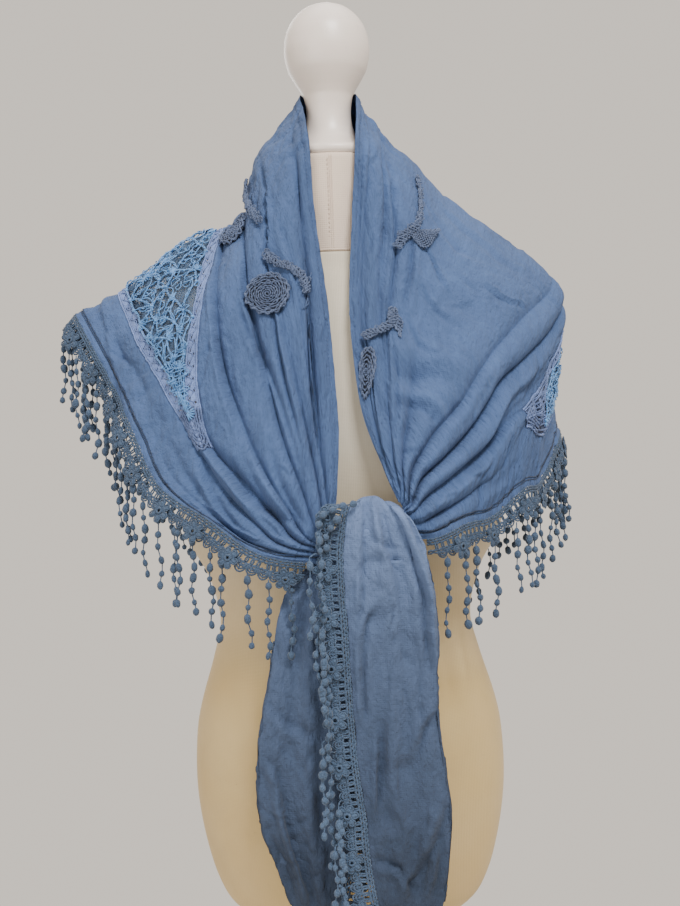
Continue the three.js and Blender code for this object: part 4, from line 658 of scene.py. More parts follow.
@lru_cache(maxsize=None)
def draped_cloth():
    """The whole cloth as one fine grid, row by row from knot to knot."""
    at = np.linspace(-KNOT_END, KNOT_END, 2 * ROWS_EACH_SIDE + 1)
    table_at, lines, depths, leans = fold_curves()
    rows = len(at)
    line, depth, lean = (np.stack([np.interp(at, table_at, table[:, k]) for k in range(7)], axis=1)
                         for table in (lines, depths, leans))
    zero, one = np.zeros((rows, 1)), np.ones((rows, 1))
    line = np.concatenate([zero, line, one], axis=1)
    depth = np.concatenate([zero, depth, zero], axis=1)
    lean = np.concatenate([lean, one], axis=1)
    across, sink = [], []
    for k, cells in enumerate(CELLS_PER_FOLD):
        share = np.arange(cells + (k == 7)) / cells
        across.append(line[:, k:k + 1] + (line[:, k + 1:k + 2] - line[:, k:k + 1]) * share)
        deep = depth[:, k:k + 1] + (depth[:, k + 1:k + 2] - depth[:, k:k + 1]) * share
        sink.append(1.15 * deep * (1 - np.abs(np.sin(np.pi * share ** lean[:, k:k + 1])) ** .85))
    across, sink = np.concatenate(across, axis=1), np.concatenate(sink, axis=1)

    step = .004
    clear = np.clip(across, step, 1 - step)
    over_across = smooth_sheet(clear + step, at) - smooth_sheet(clear - step, at)
    over_at = smooth_sheet(clear, at + step) - smooth_sheet(clear, at - step)
    normal = unit(np.cross(over_at, over_across))
    wide = np.linalg.norm(over_across, axis=-1) / (2 * step)
    long = np.linalg.norm(over_at, axis=-1) / (2 * step)

    height = -sink
    from_valley = np.full(across.shape, 99.0)
    deep_here = np.zeros(across.shape)
    for k in range(1, 8):
        gap = np.abs(across - line[:, k:k + 1]) * wide
        closer = gap < from_valley
        from_valley = np.where(closer, gap, from_valley)
        deep_here = np.where(closer, depth[:, k:k + 1], deep_here)
    height -= .3 * np.clip(deep_here - 2, 0, 9) * np.exp(-(from_valley / 2.1) ** 2)

    side_at = np.broadcast_to(at[:, None], across.shape)
    on_side = {side: np.where(side_at * side > -.02, side_at * side, 9) for side in (-1, 1)}
    placed_by_hand = [(side, path, deep * CREASE_GAIN, width, bank) for side, path, deep, width,
                      bank in CREASES]
    for side, path, deep, width, bank in placed_by_hand + small_creases():
        height += crease_height(across, on_side[side], wide, long, path, deep, width, bank)

    mm_across = np.cumsum(np.diff(across, axis=1, prepend=across[:, :1]) * wide, axis=1)
    mm_along = np.cumsum(np.full(across.shape, at[1] - at[0]) * long, axis=0)
    even_along = mm_along[:, len(across[0]) // 2][:, None] + 0 * across
    flat_area = np.clip(1 - deep_here / 9, .25, 1) * np.clip(mm_across / 12, .2, 1)
    near_knot = np.clip((1 - np.abs(side_at)) / .3, .15, 1)
    rough = flat_area * near_knot
    patchy = .55 + .6 * (.5 + .5 * noise(mm_across / 55, even_along / 70, 19))
    sink_crinkles(height, mm_across, even_along, CLOTH_CRINKLES, rough, patchy)
    height += 1.5 * near_knot * noise(mm_across / 40, even_along / 45, 41)
    height += .5 * near_knot * noise(mm_across / 13, even_along / 15, 43)

    neck_along = mm_along[:, :1] + 0 * across
    hem_band = np.clip((11 - mm_across) / 1.2, 0, 1)
    pucker = np.sin(neck_along / 5.2 + 2 * noise(neck_along / 18, mm_across / 30, 5))
    height += hem_band * (.9 + .8 * pucker * np.exp(-((mm_across - 8) / 5) ** 2))
    height -= 1.4 * np.exp(-((mm_across - 9.5) / 1.5) ** 2)
    from_hem = mm_across[:, -1:] - mm_across
    height += 1.1 * np.clip((7 - from_hem) / 1.2, 0, 1)
    height -= 1.5 * np.exp(-((from_hem - 6.2) / 1.3) ** 2)

    points = clear_of_form(smooth_sheet(across, at) + normal * height[..., None])
    along_way, across_way = np.gradient(points, axis=0), np.gradient(points, axis=1)
    fine = unit(np.cross(along_way, across_way))
    weave = np.stack([mm_across, even_along, 0 * across], axis=-1) * MM
    return {"at": at, "across": across, "points": points, "normals": fine, "sheet_normals": normal,
            "weave": weave,
            "mm_across": mm_across}


def on_cloth(across, at, lift=0.0, smooth=0.0):
    """Points that lie a lift above the cloth, and the directions away from it there."""
    cloth = draped_cloth()
    across, at = np.broadcast_arrays(np.asarray(across, float), np.asarray(at, float))
    shape = across.shape
    across, at = across.ravel(), at.ravel()
    rows, columns = cloth["across"].shape
    r = (at - cloth["at"][0]) / (cloth["at"][1] - cloth["at"][0])
    r0 = np.clip(np.floor(r).astype(int), 0, rows - 2)
    f = (r - r0)[:, None]
    row = cloth["across"][r0] * (1 - f) + cloth["across"][r0 + 1] * f
    c0 = np.clip((row < across[:, None]).sum(axis=1) - 1, 0, columns - 2)
    n = np.arange(len(at))
    g = ((across - row[n, c0]) / np.maximum(row[n, c0 + 1] - row[n, c0], 1e-6))[:, None]

    def read(grid):
        low = grid[r0, c0] * (1 - f) + grid[r0 + 1, c0] * f
        high = grid[r0, c0 + 1] * (1 - f) + grid[r0 + 1, c0 + 1] * f
        return low * (1 - g) + high * g

    normal = unit(read(cloth["normals"]) * (1 - smooth) + read(cloth["sheet_normals"]) * smooth)
    lift = np.broadcast_to(np.asarray(lift, float), shape).ravel()
    points = read(cloth["points"]) + normal * lift[:, None]
    return points.reshape(shape + (3,)), normal.reshape(shape + (3,))


def sheet_ways(across, at):
    """At places on the unfolded sheet: its two ways per unit, off it, sideways and up on it."""
    step = .01

    def spots(a, w):
        return smooth_sheet(a[:, None], w)[:, 0]

    across_way = (spots(across + step, at) - spots(across - step, at)) / (2 * step)
    at_way = (spots(across, at + step) - spots(across, at - step)) / (2 * step)
    away = unit(np.cross(at_way, across_way))
    up_way = unit(np.array([0, 0, 1.0]) - away * away[:, 2:])
    return across_way, at_way, away, np.cross(up_way, away), up_way


def bridged(across, at, side, up, lift=0.0):
    """Points off the cloth, bridging its folds, side and up in millimetres from places on it."""
    across, at, side, up, lift = np.broadcast_arrays(across, at, side, up, lift)
    shape = across.shape
    across, at, side, up, lift = (np.asarray(v, float).ravel()
                                  for v in (across, at, side, up, lift))
    across_way, at_way, _, side_way, up_way = sheet_ways(across, at)
    shift = side_way * side[:, None] + up_way * up[:, None]
    pairs = ((across_way, across_way), (across_way, at_way), (at_way, at_way))
    aa, ab, bb = ((p * q).sum(axis=1) for p, q in pairs)
    da, db = (across_way * shift).sum(axis=1), (at_way * shift).sum(axis=1)
    across = across + (da * bb - db * ab) / (aa * bb - ab * ab)
    at = at + (db * aa - da * ab) / (aa * bb - ab * ab)
    on_fold, away = on_cloth(across, at, 0, 1)
    dip = np.maximum(((smooth_sheet(across[:, None], at)[:, 0] - on_fold) * away).sum(axis=1), 0)
    points = on_fold + away * (dip + lift)[:, None]
    return points.reshape(shape + (3,)), away.reshape(shape + (3,))


def crest_rows():
    """The rows of the cloth where its right front and its left front meet its back."""
    at = draped_cloth()["at"]
    return int(np.abs(at + CREST).argmin()), int(np.abs(at - CREST).argmin())


def cells_kept():
    """Which cells of the cloth are there: all but the two leaves."""
    cloth = draped_cloth()
    middle = (cloth["at"][1:] + cloth["at"][:-1]) / 2
    present = np.ones((len(middle), cloth["across"].shape[1] - 1), bool)
    for leaf in LEAVES.values():
        near, far = (sum(CELLS_PER_FOLD[:k]) for k in leaf["between"])
        inside = (middle * leaf["side"] > leaf["starts"]) & (middle * leaf["side"] < leaf["ends"])
        present[np.ix_(inside, np.arange(near, far))] = False
    return present


class Varying:
    """A number that varies over a surface; arithmetic on it adds the shader's own sums."""

    def __init__(self, finish, socket):
        self.finish, self.socket = finish, socket

    def _sum(self, operation, first, second):
        return self.finish.number("ShaderNodeMath", {"operation": operation}, {0: first, 1: second})

    def __add__(self, other):
        return self._sum("ADD", self, other)

    def __radd__(self, other):
        return self._sum("ADD", other, self)

    def __sub__(self, other):
        return self._sum("SUBTRACT", self, other)

    def __rsub__(self, other):
        return self._sum("SUBTRACT", other, self)

    def __mul__(self, other):
        return self._sum("MULTIPLY", self, other)

    def __rmul__(self, other):
        return self._sum("MULTIPLY", other, self)

    def __pow__(self, other):
        return self._sum("POWER", self, other)


class Finish:
    """One material: cloth, crochet, jersey, paint or metal."""

    def __init__(self, name, roughness, **fixed):
        self.material = bpy.data.materials.new(name)
        self.material.use_nodes = True
        self.tree = self.material.node_tree
        self.surface = self.tree.nodes["Principled BSDF"]
        self.surface.inputs["Roughness"].default_value = roughness
        for socket, value in fixed.items():
            self.surface.inputs[socket.replace("_", " ")].default_value = value

    def node(self, kind, settings=None, values=None):
        node = self.tree.nodes.new(kind)
        for key, value in (settings or {}).items():
            if key == "stops":
                ramp = node.color_ramp
                while len(ramp.elements) < len(value):
                    ramp.elements.new(.5)
                for stop, (place, grey) in zip(ramp.elements, value):
                    stop.position = place
                    stop.color = (grey, grey, grey, 1)
            else:
                setattr(node, key, value)
        for key, value in (values or {}).items():
            if isinstance(value, Varying):
                value = value.socket
            if isinstance(value, bpy.types.NodeSocket):
                self.tree.links.new(value, node.inputs[key])
            else:
                node.inputs[key].default_value = value
        return node

    def number(self, kind, settings=None, values=None, output=0):
        return Varying(self, self.node(kind, settings, values).outputs[output])

    def place(self, scale=1.0, stretch=(1, 1, 1), weave=False):
        if weave:
            socket = self.node("ShaderNodeAttribute", {"attribute_name": "weave"}).outputs["Vector"]
        else:
            socket = self.node("ShaderNodeTexCoord").outputs["Object"]
        return self.node("ShaderNodeVectorMath", {"operation": "MULTIPLY"},
                         {0: socket, 1: tuple(scale * s for s in stretch)}).outputs[0]

    def cloud(self, place, detail=2.0, roughness=.55):
        return self.number("ShaderNodeTexNoise", None,
                           {"Vector": place, "Scale": 1.0, "Detail": detail,
                            "Roughness": roughness})

    def threads(self, place, direction):
        settings = {"bands_direction": direction, "wave_profile": "SIN"}
        values = {"Vector": place, "Scale": 1.0, "Distortion": .6, "Detail": 1.0,
                  "Detail Scale": .7}
        return self.number("ShaderNodeTexWave", settings, values, 1)

    def ramp(self, value, *stops):
        return self.number("ShaderNodeValToRGB", {"stops": stops}, {0: value})

    def blend(self, factor, first, second):
        first = first if isinstance(first, bpy.types.NodeSocket) else (*first, 1)
        second = second if isinstance(second, bpy.types.NodeSocket) else (*second, 1)
        return self.node("ShaderNodeMix", {"data_type": "RGBA", "clamp_factor": True},
                         {0: factor, 6: first, 7: second}).outputs[2]

    def colour(self, socket):
        self.tree.links.new(socket, self.surface.inputs["Base Color"])

    def roughness(self, value):
        self.tree.links.new(value.socket, self.surface.inputs["Roughness"])

    def bump(self, height, strength, depth, under=None):
        values = {"Strength": strength, "Distance": depth, "Height": height}
        if under is not None:
            values["Normal"] = under
        return self.node("ShaderNodeBump", None, values).outputs[0]

    def relief(self, normal):
        self.tree.links.new(normal, self.surface.inputs["Normal"])


def shade(colour, k):
    """A colour made k times as bright."""
    return tuple(min(max(c * k, 0), 1) for c in colour)


def linear(*parts):
    """A screen colour, given from 0 to 255, as the shader's linear one."""
    return tuple(((c / 255 + .055) / 1.055) ** 2.4 if c > 10 else c / 255 / 12.92 for c in parts)


def cotton_finish(name, colour, low=None):
    """Thin garment-dyed cotton voile: uneven dye, slubs, a fine weave, small crinkles and painted shade
    in its sharp creases.
    """
    finish = Finish(name, .88, Sheen_Weight=.05, Sheen_Roughness=.6, Specular_IOR_Level=.2)
    dye = finish.ramp(finish.cloud(finish.place(16, weave=True), 5, .62), (.3, 0), (.72, 1))
    wash = finish.ramp(finish.cloud(finish.place(1, (150, 55, 1), True), 3, .6), (.42, 0), (.68, 1))
    slub_along = finish.ramp(finish.cloud(finish.place(1, (900, 40, 1), True), 2), (.52, 0),
                             (.78, 1))
    slub_across = finish.ramp(finish.cloud(finish.place(1, (40, 900, 1), True), 2), (.54, 0),
                              (.8, 1))
    warp = finish.threads(finish.place(170, weave=True), "X")
    weft = finish.threads(finish.place(170, weave=True), "Y")
    # worn holds the surface's pointiness: painted shade darkens the cloth in sharp concave creases, and
    # sharp convex ridges come out a little lighter.
    worn = finish.number("ShaderNodeNewGeometry", output=7)
    tone = finish.blend(dye, shade(colour, .8), shade(colour, 1.16))
    tone = finish.blend(wash * .22, tone, shade(colour, 1.5))
    tone = finish.blend(finish.ramp(worn, (.38, 1), (.49, 0)) * .45, tone, shade(colour, .4))
    tone = finish.blend(finish.ramp(worn, (.515, 0), (.62, 1)) * .12, tone, shade(colour, 1.5))
    tone = finish.blend(slub_along * .2, tone, shade(colour, 1.7))
    tone = finish.blend(slub_across * .16, tone, shade(colour, .5))
    tone = finish.blend(warp * weft * .18, tone, shade(colour, 1.4))
    # Hanging ends: darker towards their foot, blended in last.
    if low is not None:
        height = finish.number("ShaderNodeSeparateXYZ", None, {0: finish.place(1)}, 2)
        foot = finish.ramp(height, (.30, 1), (.56, .6), (.69, 0))
        tone = finish.blend(foot * (.76 + .2 * dye), tone, tuple(low))
    finish.colour(tone)
    finish.roughness(.82 + .12 * dye)
    folds = finish.cloud(finish.place(1, (120, 70, 1), True), 5, .62)
    cockle = finish.cloud(finish.place(1, (380, 230, 1), True), 3, .55)
    normal = finish.bump(folds, .9, .0044)
    normal = finish.bump(cockle, .8, .0014, normal)
    normal = finish.bump(warp + weft + slub_along * .8 + slub_across * .8, .4, .0002, normal)
    finish.relief(normal)
    return finish.material


def crochet_finish(name, colour, grain=1.0, sheen=.15, roughness=.9, painted_light_contrast=1.0):
    """Twisted yarn: a grain of plies with painted shade in the gaps between them and painted highlights
    in fine noise specks.
    """
    finish = Finish(name, roughness, Sheen_Weight=sheen, Specular_IOR_Level=.3 if roughness > .6
                    else .6)
    plies = finish.number("ShaderNodeTexVoronoi", {"feature": "F1"},
                          {"Vector": finish.place(620 * grain), "Scale": 1.0}, 0)
    fluff_and_highlight = finish.cloud(finish.place(900 * grain), 3, .65)
    patches = finish.ramp(finish.cloud(finish.place(45), 3), (.3, 0), (.7, 1))
    tone = finish.blend(patches, shade(colour, .82), shade(colour, 1.18))
    # Painted shade darkens the gaps between the plies, and fine noise adds painted highlights; the last
    # argument sets how strong both are.
    tone = finish.blend(finish.ramp(plies, (.35, 0), (.8, 1)) * (.55 * painted_light_contrast), tone,
                        shade(colour, .42))
    tone = finish.blend(finish.ramp(fluff_and_highlight, (.55, 0), (.8, 1)) * (.5 * painted_light_contrast), tone,
                        shade(colour, 1.8))
    finish.colour(tone)
    finish.relief(finish.bump(fluff_and_highlight, .5, .0006, finish.bump(1 - plies, .7, .0011)))
    return finish.material


def jersey_finish(name, colour, low):
    """Fine cream knit pulled over padding, yellower and darker towards the bottom, with grubby patches.
    """
    finish = Finish(name, .92, Sheen_Weight=.12, Specular_IOR_Level=.2)
    patches = finish.ramp(finish.cloud(finish.place(9), 4), (.35, 0), (.75, 1))
    grime = finish.ramp(finish.cloud(finish.place(5), 6, .66), (.5, 0), (.8, 1))
    specks = finish.ramp(finish.cloud(finish.place(160), 3, .7), (.7, 0), (.78, 1))
    height = finish.number("ShaderNodeSeparateXYZ", None, {0: finish.place(1)}, 2)
    rib = finish.threads(finish.place(190), "X")
    course = finish.threads(finish.place(240), "Z")
    tone = finish.blend(finish.ramp(height, (.5, 1), (.74, 0)), tuple(colour), tuple(low))
    tone = finish.blend(patches * .14, tone, shade(colour, 1.1))
    tone = finish.blend(grime * .3, tone, shade(low, .5))
    tone = finish.blend(specks * .4, tone, shade(low, .4))
    tone = finish.blend(rib * course * .25, tone, shade(low, .7))
    finish.colour(tone)
    padding = finish.bump(finish.cloud(finish.place(28), 3), .2, .002)
    finish.relief(finish.bump(rib + course, .3, .00025, padding))
    return finish.material


def paint_finish(name, colour):
    """Old satin paint on turned wood: slight brush lines and a few scuffs."""
    finish = Finish(name, .42, Coat_Weight=.25, Coat_Roughness=.3)
    brush = finish.cloud(finish.place(1, (16, 16, 260)), 3)
    scuff = finish.ramp(finish.cloud(finish.place(60), 5, .7), (.62, 0), (.72, 1))
    coat = finish.blend(brush, shade(colour, .97), shade(colour, 1.03))
    finish.colour(finish.blend(scuff * .35, coat, shade(colour, .72)))
    finish.roughness(.36 + .18 * scuff + .08 * brush)
    finish.relief(finish.bump(brush, .12, .0004))
    return finish.material


def canvas_finish(name, colour):
    """Plain cream canvas with a coarse square weave."""
    finish = Finish(name, .9, Sheen_Weight=.1, Specular_IOR_Level=.2)
    warp, weft = finish.threads(finish.place(150), "X"), finish.threads(finish.place(150), "Z")
    patches = finish.ramp(finish.cloud(finish.place(22), 4), (.3, 0), (.7, 1))
    tone = finish.blend(patches, shade(colour, .92), shade(colour, 1.05))
    finish.colour(finish.blend(warp * weft * .35, tone, shade(colour, .72)))
    finish.relief(finish.bump(warp + weft, .4, .0003))
    return finish.material


def metal_finish(name, colour):
    """Brushed steel with fine turning marks and dull spots."""
    finish = Finish(name, .38, Metallic=.9)
    marks = finish.cloud(finish.place(1, (30, 30, 700)), 3)
    spots = finish.ramp(finish.cloud(finish.place(35), 4), (.55, 0), (.75, 1))
    finish.colour(finish.blend(spots * .5, shade(colour, 1.05), shade(colour, .7)))
    finish.roughness(.3 + .2 * marks + .15 * spots)
    finish.relief(finish.bump(marks, .15, .0003))
    return finish.material


def floor_finish(name, colour):
    """Plain pale floor, hardly mottled."""
    finish = Finish(name, .8)
    mottle = finish.cloud(finish.place(3), 3)
    finish.colour(finish.blend(mottle, shade(colour, .98), colour))
    return finish.material


def placed(piece, slot, *nodes):
    """A finished piece rides on the body and stands for its solids, which are hidden. Its slot is not
    used.
    """
    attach(piece, BODY)
    if nodes:
        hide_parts(*nodes)


# Pieces of the worn cloth

def build_cloth(sizes, tones):
    """The worn cloth in its three stretches."""
    cloth = draped_cloth()
    present = cells_kept()
    material = cotton_finish("cotton_voile", tones.cloth)
    right, left = crest_rows()
    stretches = [("cloth_right_front", 0, right), ("cloth_back", right, left),
                 ("cloth_left_front", left, len(cloth["at"]) - 1)]
    for node, first, last in stretches:
        rows = slice(first, last + 1)
        points, normals = cloth["points"][rows], cloth["normals"][rows]
        shape = Shape()
        used = add_shell(shape, points, normals, sizes.cloth_thickness / MM, present[first:last])
        both = np.concatenate([normals.reshape(-1, 3), -normals.reshape(-1, 3)])[used]
        weave = np.concatenate([cloth["weave"][rows].reshape(-1, 3)] * 2)[used]
        placed(shape.piece("scarf_" + node, material, weave=weave, normals=both), "scarf_cloth",
               node)


def build_stitches(tones):
    """The neck hem's running stitches, the lower hem's dark seams and the little thread tie."""
    cloth = draped_cloth()
    shape = Shape()
    columns = np.abs(cloth["mm_across"] - STITCH_ROW).argmin(axis=1)
    rows = np.arange(len(cloth["at"]))
    line, away = cloth["points"][rows, columns], cloth["normals"][rows, columns]
    run = run_along(line)
    for start in np.arange(20, run[-1] - 20, STITCH_PITCH):
        s = np.linspace(start, start + STITCH_LENGTH, 4)
        path, lift = (np.stack([np.interp(s, run, table[:, k]) for k in range(3)], axis=1)
                      for table in (line, away))
        tube(shape, path + lift * (.15 + .35 * np.sin(np.linspace(0, np.pi, 4)))[:, None], .28,
             lift, 4)
    shape.finish = 1
    for from_hem in SEAMS_FROM_HEM:
        across = np.array([np.interp(mm[-1] - from_hem, mm, row)
                           for mm, row in zip(cloth["mm_across"], cloth["across"])])
        path, lift = on_cloth(across, cloth["at"], .25)
        tube(shape, path[4:-4], .62, lift[4:-4], 3)
    shape.finish = 0
    for turn, spread in ((0, .008), (1, -.006)):
        across = np.linspace(.07, .15 + .01 * turn, 9)
        at = -.545 + spread * np.sin(np.linspace(0, 3, 9)) + .006 * turn
        path, lift = on_cloth(across, at, 1.2 + 1.5 * np.sin(np.linspace(0, np.pi, 9)))
        tube(shape, path, .6, lift, 5)
    placed(shape.piece("hem_stitches", crochet_finish("hem_thread", shade(tones.cloth, 1.1), 2),
                       crochet_finish("hem_seam", shade(tones.cloth, .42), 2)), "scarf_cloth")


def leaf_place(leaf, share, at, lift=0.0):
    """Points on an inset: share from its neck side to its hem side, at as on the cloth."""
    table_at, lines, _, _ = fold_curves()
    near, far = (np.interp(at * leaf["side"], table_at, lines[:, k - 1]) for k in leaf["between"])
    return on_cloth(near + (far - near) * share, at * leaf["side"], lift, .5)


def leaf_width(leaf, at):
    """How wide an inset is at some places along it."""
    a = leaf_place(leaf, np.zeros_like(at), at)[0]
    b = leaf_place(leaf, np.ones_like(at), at)[0]
    return np.linalg.norm(a - b, axis=-1)


class Inset:
    """Where the braid and the net of one leaf-shaped opening lie."""

    def __init__(self, leaf, braid_width):
        self.leaf = leaf
        self.starts, self.ends = leaf["starts"] - .005, leaf["ends"] + .003
        self.solid_from = self.ends - leaf["solid"]
        self.at = np.linspace(self.starts, self.ends, BRAID_ROWS)
        share = np.minimum(braid_width / leaf_width(leaf, self.at), .5)
        closing = np.clip((self.at - self.solid_from) / .012, 0, 1)
        self.share = share + (.5 - share) * np.maximum(closing, self.at - self.starts < .03)
        self.net_at = np.linspace(self.starts + .024, self.solid_from + .006, NET_ROWS)
        net_width = leaf_width(leaf, self.net_at)
        self.net_share = np.minimum(braid_width / net_width, .47) * .96
        self.run = run_along(leaf_place(leaf, np.full(NET_ROWS, .5), self.net_at)[0])
        self.long = self.run[-1]
        self.slant = float(np.median(net_width * (1 - 2 * self.net_share))) / self.long

    def net_point(self, s, t, lift):
        """Points of the net, s across it and t along it, both from 0 to 1."""
        place = np.interp(np.clip(t, 0, 1) * self.long, self.run, self.net_at)
        start = np.interp(place, self.net_at, self.net_share)
        return leaf_place(self.leaf, start + (1 - 2 * start) * np.clip(s, 0, 1), place, lift)


def add_braid(band, inset):
    """The braid down both sides of a leaf: a band with eyelets, raised cords and a zigzag."""
    leaf, at, share = inset.leaf, inset.at, inset.share
    every = np.arange(BRAID_ROWS)
    tip = int((at < inset.solid_from).sum())
    for mirror in (False, True):
        across = share[:, None] * (np.arange(BRAID_COLUMNS) / (BRAID_COLUMNS - 1))[None, :]
        across = 1 - across if mirror else across
        points, normals = leaf_place(leaf, across, np.broadcast_to(at[:, None], across.shape), .5)
        present = np.ones((BRAID_ROWS - 1, BRAID_COLUMNS - 1), bool)
        open_rows = every[1:-1][at[1:-1] < inset.solid_from]
        present[open_rows[open_rows % 5 < 2], 5:7] = False
        present[open_rows[open_rows % 5 == 3], 2:4] = False
        if mirror:
            points, normals, present = points[:, ::-1], normals[:, ::-1], present[:, ::-1]
        add_shell(band, points[:tip + 1], normals[:tip + 1], .9, present[:tip])
        # The solid tip's stretch of the band takes the very dark finish: painted shade between the
        # cords on it.
        band.finish = 2
        add_shell(band, points[tip:], normals[tip:], .9, present[tip:])
        band.finish = 0
        for edge, thick in ((.03, 1.0), (.2, .55), (.97, .9)):
            line = share * edge
            path, away = leaf_place(leaf, 1 - line if mirror else line, at, 1.0)
            tube(band, path, thick * (1 + .22 * np.sin(every * 1.9)), away, 5)
        zig = share * (.58 + .22 * np.sin(every * np.pi / 2.5))
        path, away = leaf_place(leaf, 1 - zig if mirror else zig, at, 1.05)
        tube(band, path, .6, away, 4)


def add_tip_cords(band, inset):
    """Nested cords that turn round both ends of a leaf."""
    band.finish = 1
    for tip, back in ((inset.ends, inset.solid_from - .004), (inset.starts, inset.starts + .03)):
        for k in range(5):
            turn = np.linspace(-1, 1, 61)
            reach = .5 - .1 * k
            line = .5 + reach * np.sign(turn) * (1 - (1 - np.abs(turn)) ** 2.2)
            shift, bend = (tip - back) * (.06 - .11 * k), (tip - back) * (1 - .08 * k)
            place = tip + shift - bend * np.abs(turn) ** 1.6
            path, away = leaf_place(inset.leaf, line, place, 1.5 + .5 * np.sin(turn * 33 + k))
            tube(band, path, 1.0 - .05 * k, away, 5)
    band.finish = 0


def add_mesh(mesh, inset):
    """The fine slanting mesh behind the bright cord."""
    for way in (1, -1):
        for begin in np.arange(-inset.slant, 1 + inset.slant, MESH_PITCH / inset.long):
            s = np.linspace(0, 1, 9)
            t = begin + way * (s - .5) * inset.slant + .003 * np.sin(s * 9 + begin * 40)
            keep = (t > 0) & (t < 1)
            if keep.sum() < 3:
                continue
            points, away = inset.net_point(s[keep], t[keep], -.6 + .3 * way)
            tube(mesh, points, .46, away, 3)


def add_lattice(net, inset, rng):
    """The net of bright twisted cord, with a curl of rays or a bead where its cords meet."""
    along = max(int(inset.long / NET_CELL), 8)
    knots = {}
    for k in range(along + 1):
        for i in range(NET_ACROSS + 1):
            s = (i + .5 * (k % 2)) / NET_ACROSS + rng.uniform(-.09, .09)
            t = k / along + rng.uniform(-.016, .016)
            knots[k, i] = (min(max(s, 0), 1), min(max(t, 0), 1))
    for (k, i), (s, t) in knots.items():
        for dk, di in ((1, 0), (1, -1 if k % 2 == 0 else 1), (0, 1)):
            if (k + dk, i + di) not in knots or rng.random() < (.4 if dk == 0 else .08):
                continue
            s2, t2 = knots[k + dk, i + di]
            u = np.linspace(0, 1, 12)
            bow = rng.uniform(-.06, .06)
            rise = 1.6 + rng.uniform(0, 2.2) * np.sin(np.pi * u)
            for strand in (0, 1):
                twist = u * 15 + strand * np.pi
                beside = s + (s2 - s) * u + bow * np.sin(np.pi * u) + .012 * np.cos(twist)
                path, away = inset.net_point(beside, t + (t2 - t) * u, rise + .55 * np.sin(twist))
                tube(net, path, .76 + .18 * np.sin(np.arange(12) * 2.5), away, 3)
        centre, away = inset.net_point(np.array([s]), np.array([t]), 1.9)
        side = unit(np.cross(away, [[0, 0, 1.0]]))[0]
        other = np.cross(away[0], side)
        if rng.random() < .38:
            turn = rng.uniform(0, 6.28)
            for ray in range(6):
                angle = turn + ray * .42
                way = side * math.cos(angle) + other * math.sin(angle)
                u = np.linspace(0, 1, 5)[:, None]
                path = centre[0] + way * (u * 7.5) + away[0] * (.4 + 1.4 * np.sin(np.pi * u))
                tube(net, path, .75, away[0], 4)
        else:
            blob(net, centre[0], [side * 2.3, other * 2.0, away[0] * 1.6], 7, 3)


def add_fluff(net, inset, rng, seed):
    """Loose loops all over the net, and three wavy cords down its length."""
    for _ in range(int(inset.long / 1.5)):
        t = rng.uniform(.01, .99) ** 1.3
        s, lift = rng.uniform(.02, .98), rng.uniform(1.5, 4.0)
        centre, away = inset.net_point(np.array([s]), np.array([t]), lift)
        side = unit(np.cross(away, [[0, 0, 1.0]]))[0]
        turn, start = np.linspace(0, 2 * np.pi, 11, endpoint=False), rng.uniform(0, 6)
        wide, tall = rng.uniform(1.8, 5.2, 2)
        loop = (centre[0] + np.outer(np.cos(turn) * wide, side)
                + np.outer(np.sin(turn + .4) * tall, np.cross(away[0], side))
                + np.outer(1.2 * np.sin(turn * 2 + start), away[0]))
        tube(net, loop, .64, away[0], 3, closed=True)
    for line in range(3):
        t = np.linspace(.01, .99, int(inset.long / 2.2))
        phase = t * inset.long / 5 + line * 2
        wander = noise(t * 30, t * 0 + line, seed + 3)
        s = .5 + (line - 1) * .3 + .085 * np.sin(phase) + .05 * wander
        lift = 2.4 + 1.5 * np.sin(t * inset.long / 3.1 + line) + 2.2 * np.clip(.45 - t, 0, 1)
        path, away = inset.net_point(s, t + .009 * np.cos(phase), lift)
        tube(net, path, .62, away, 4)


def build_inset(name, leaf, sizes, tones, seed):
    """One leaf: a braid with eyelets, a solid corded tip, and a net over a mesh inside it."""
    rng = np.random.default_rng(seed)
    inset = Inset(leaf, sizes.edging_width / MM)
    band, net, mesh = Shape(), Shape(), Shape()
    add_braid(band, inset)
    add_tip_cords(band, inset)
    add_mesh(mesh, inset)
    add_lattice(net, inset, rng)
    add_fluff(net, inset, rng, seed)
    braid = crochet_finish("edging_braid_" + name, tones.edging, 1.6, painted_light_contrast=.7)
    tip = crochet_finish("edging_tip_" + name, shade(tones.edging, .6), 1.2)
    # ground is the braid yarn at a fifth of its brightness, as painted shade under the tip's cords.
    ground = crochet_finish("edging_ground_" + name, shade(tones.edging, .2), 1.2)
    edging = band.piece("lace_edging_" + name, braid, tip, ground)
    placed(edging, "edging_lace", "inset_edging_" + name)
    cord = crochet_finish("net_cord_" + name, tones.net, 1.2, .3, .4, 1.2)
    placed(net.piece("lace_net_" + name, cord), "net_lace", "inset_net_" + name)
    fine = crochet_finish("net_ground_" + name, tones.mesh, 1.4)
    placed(mesh.piece("lace_mesh_" + name, fine), "net_lace")


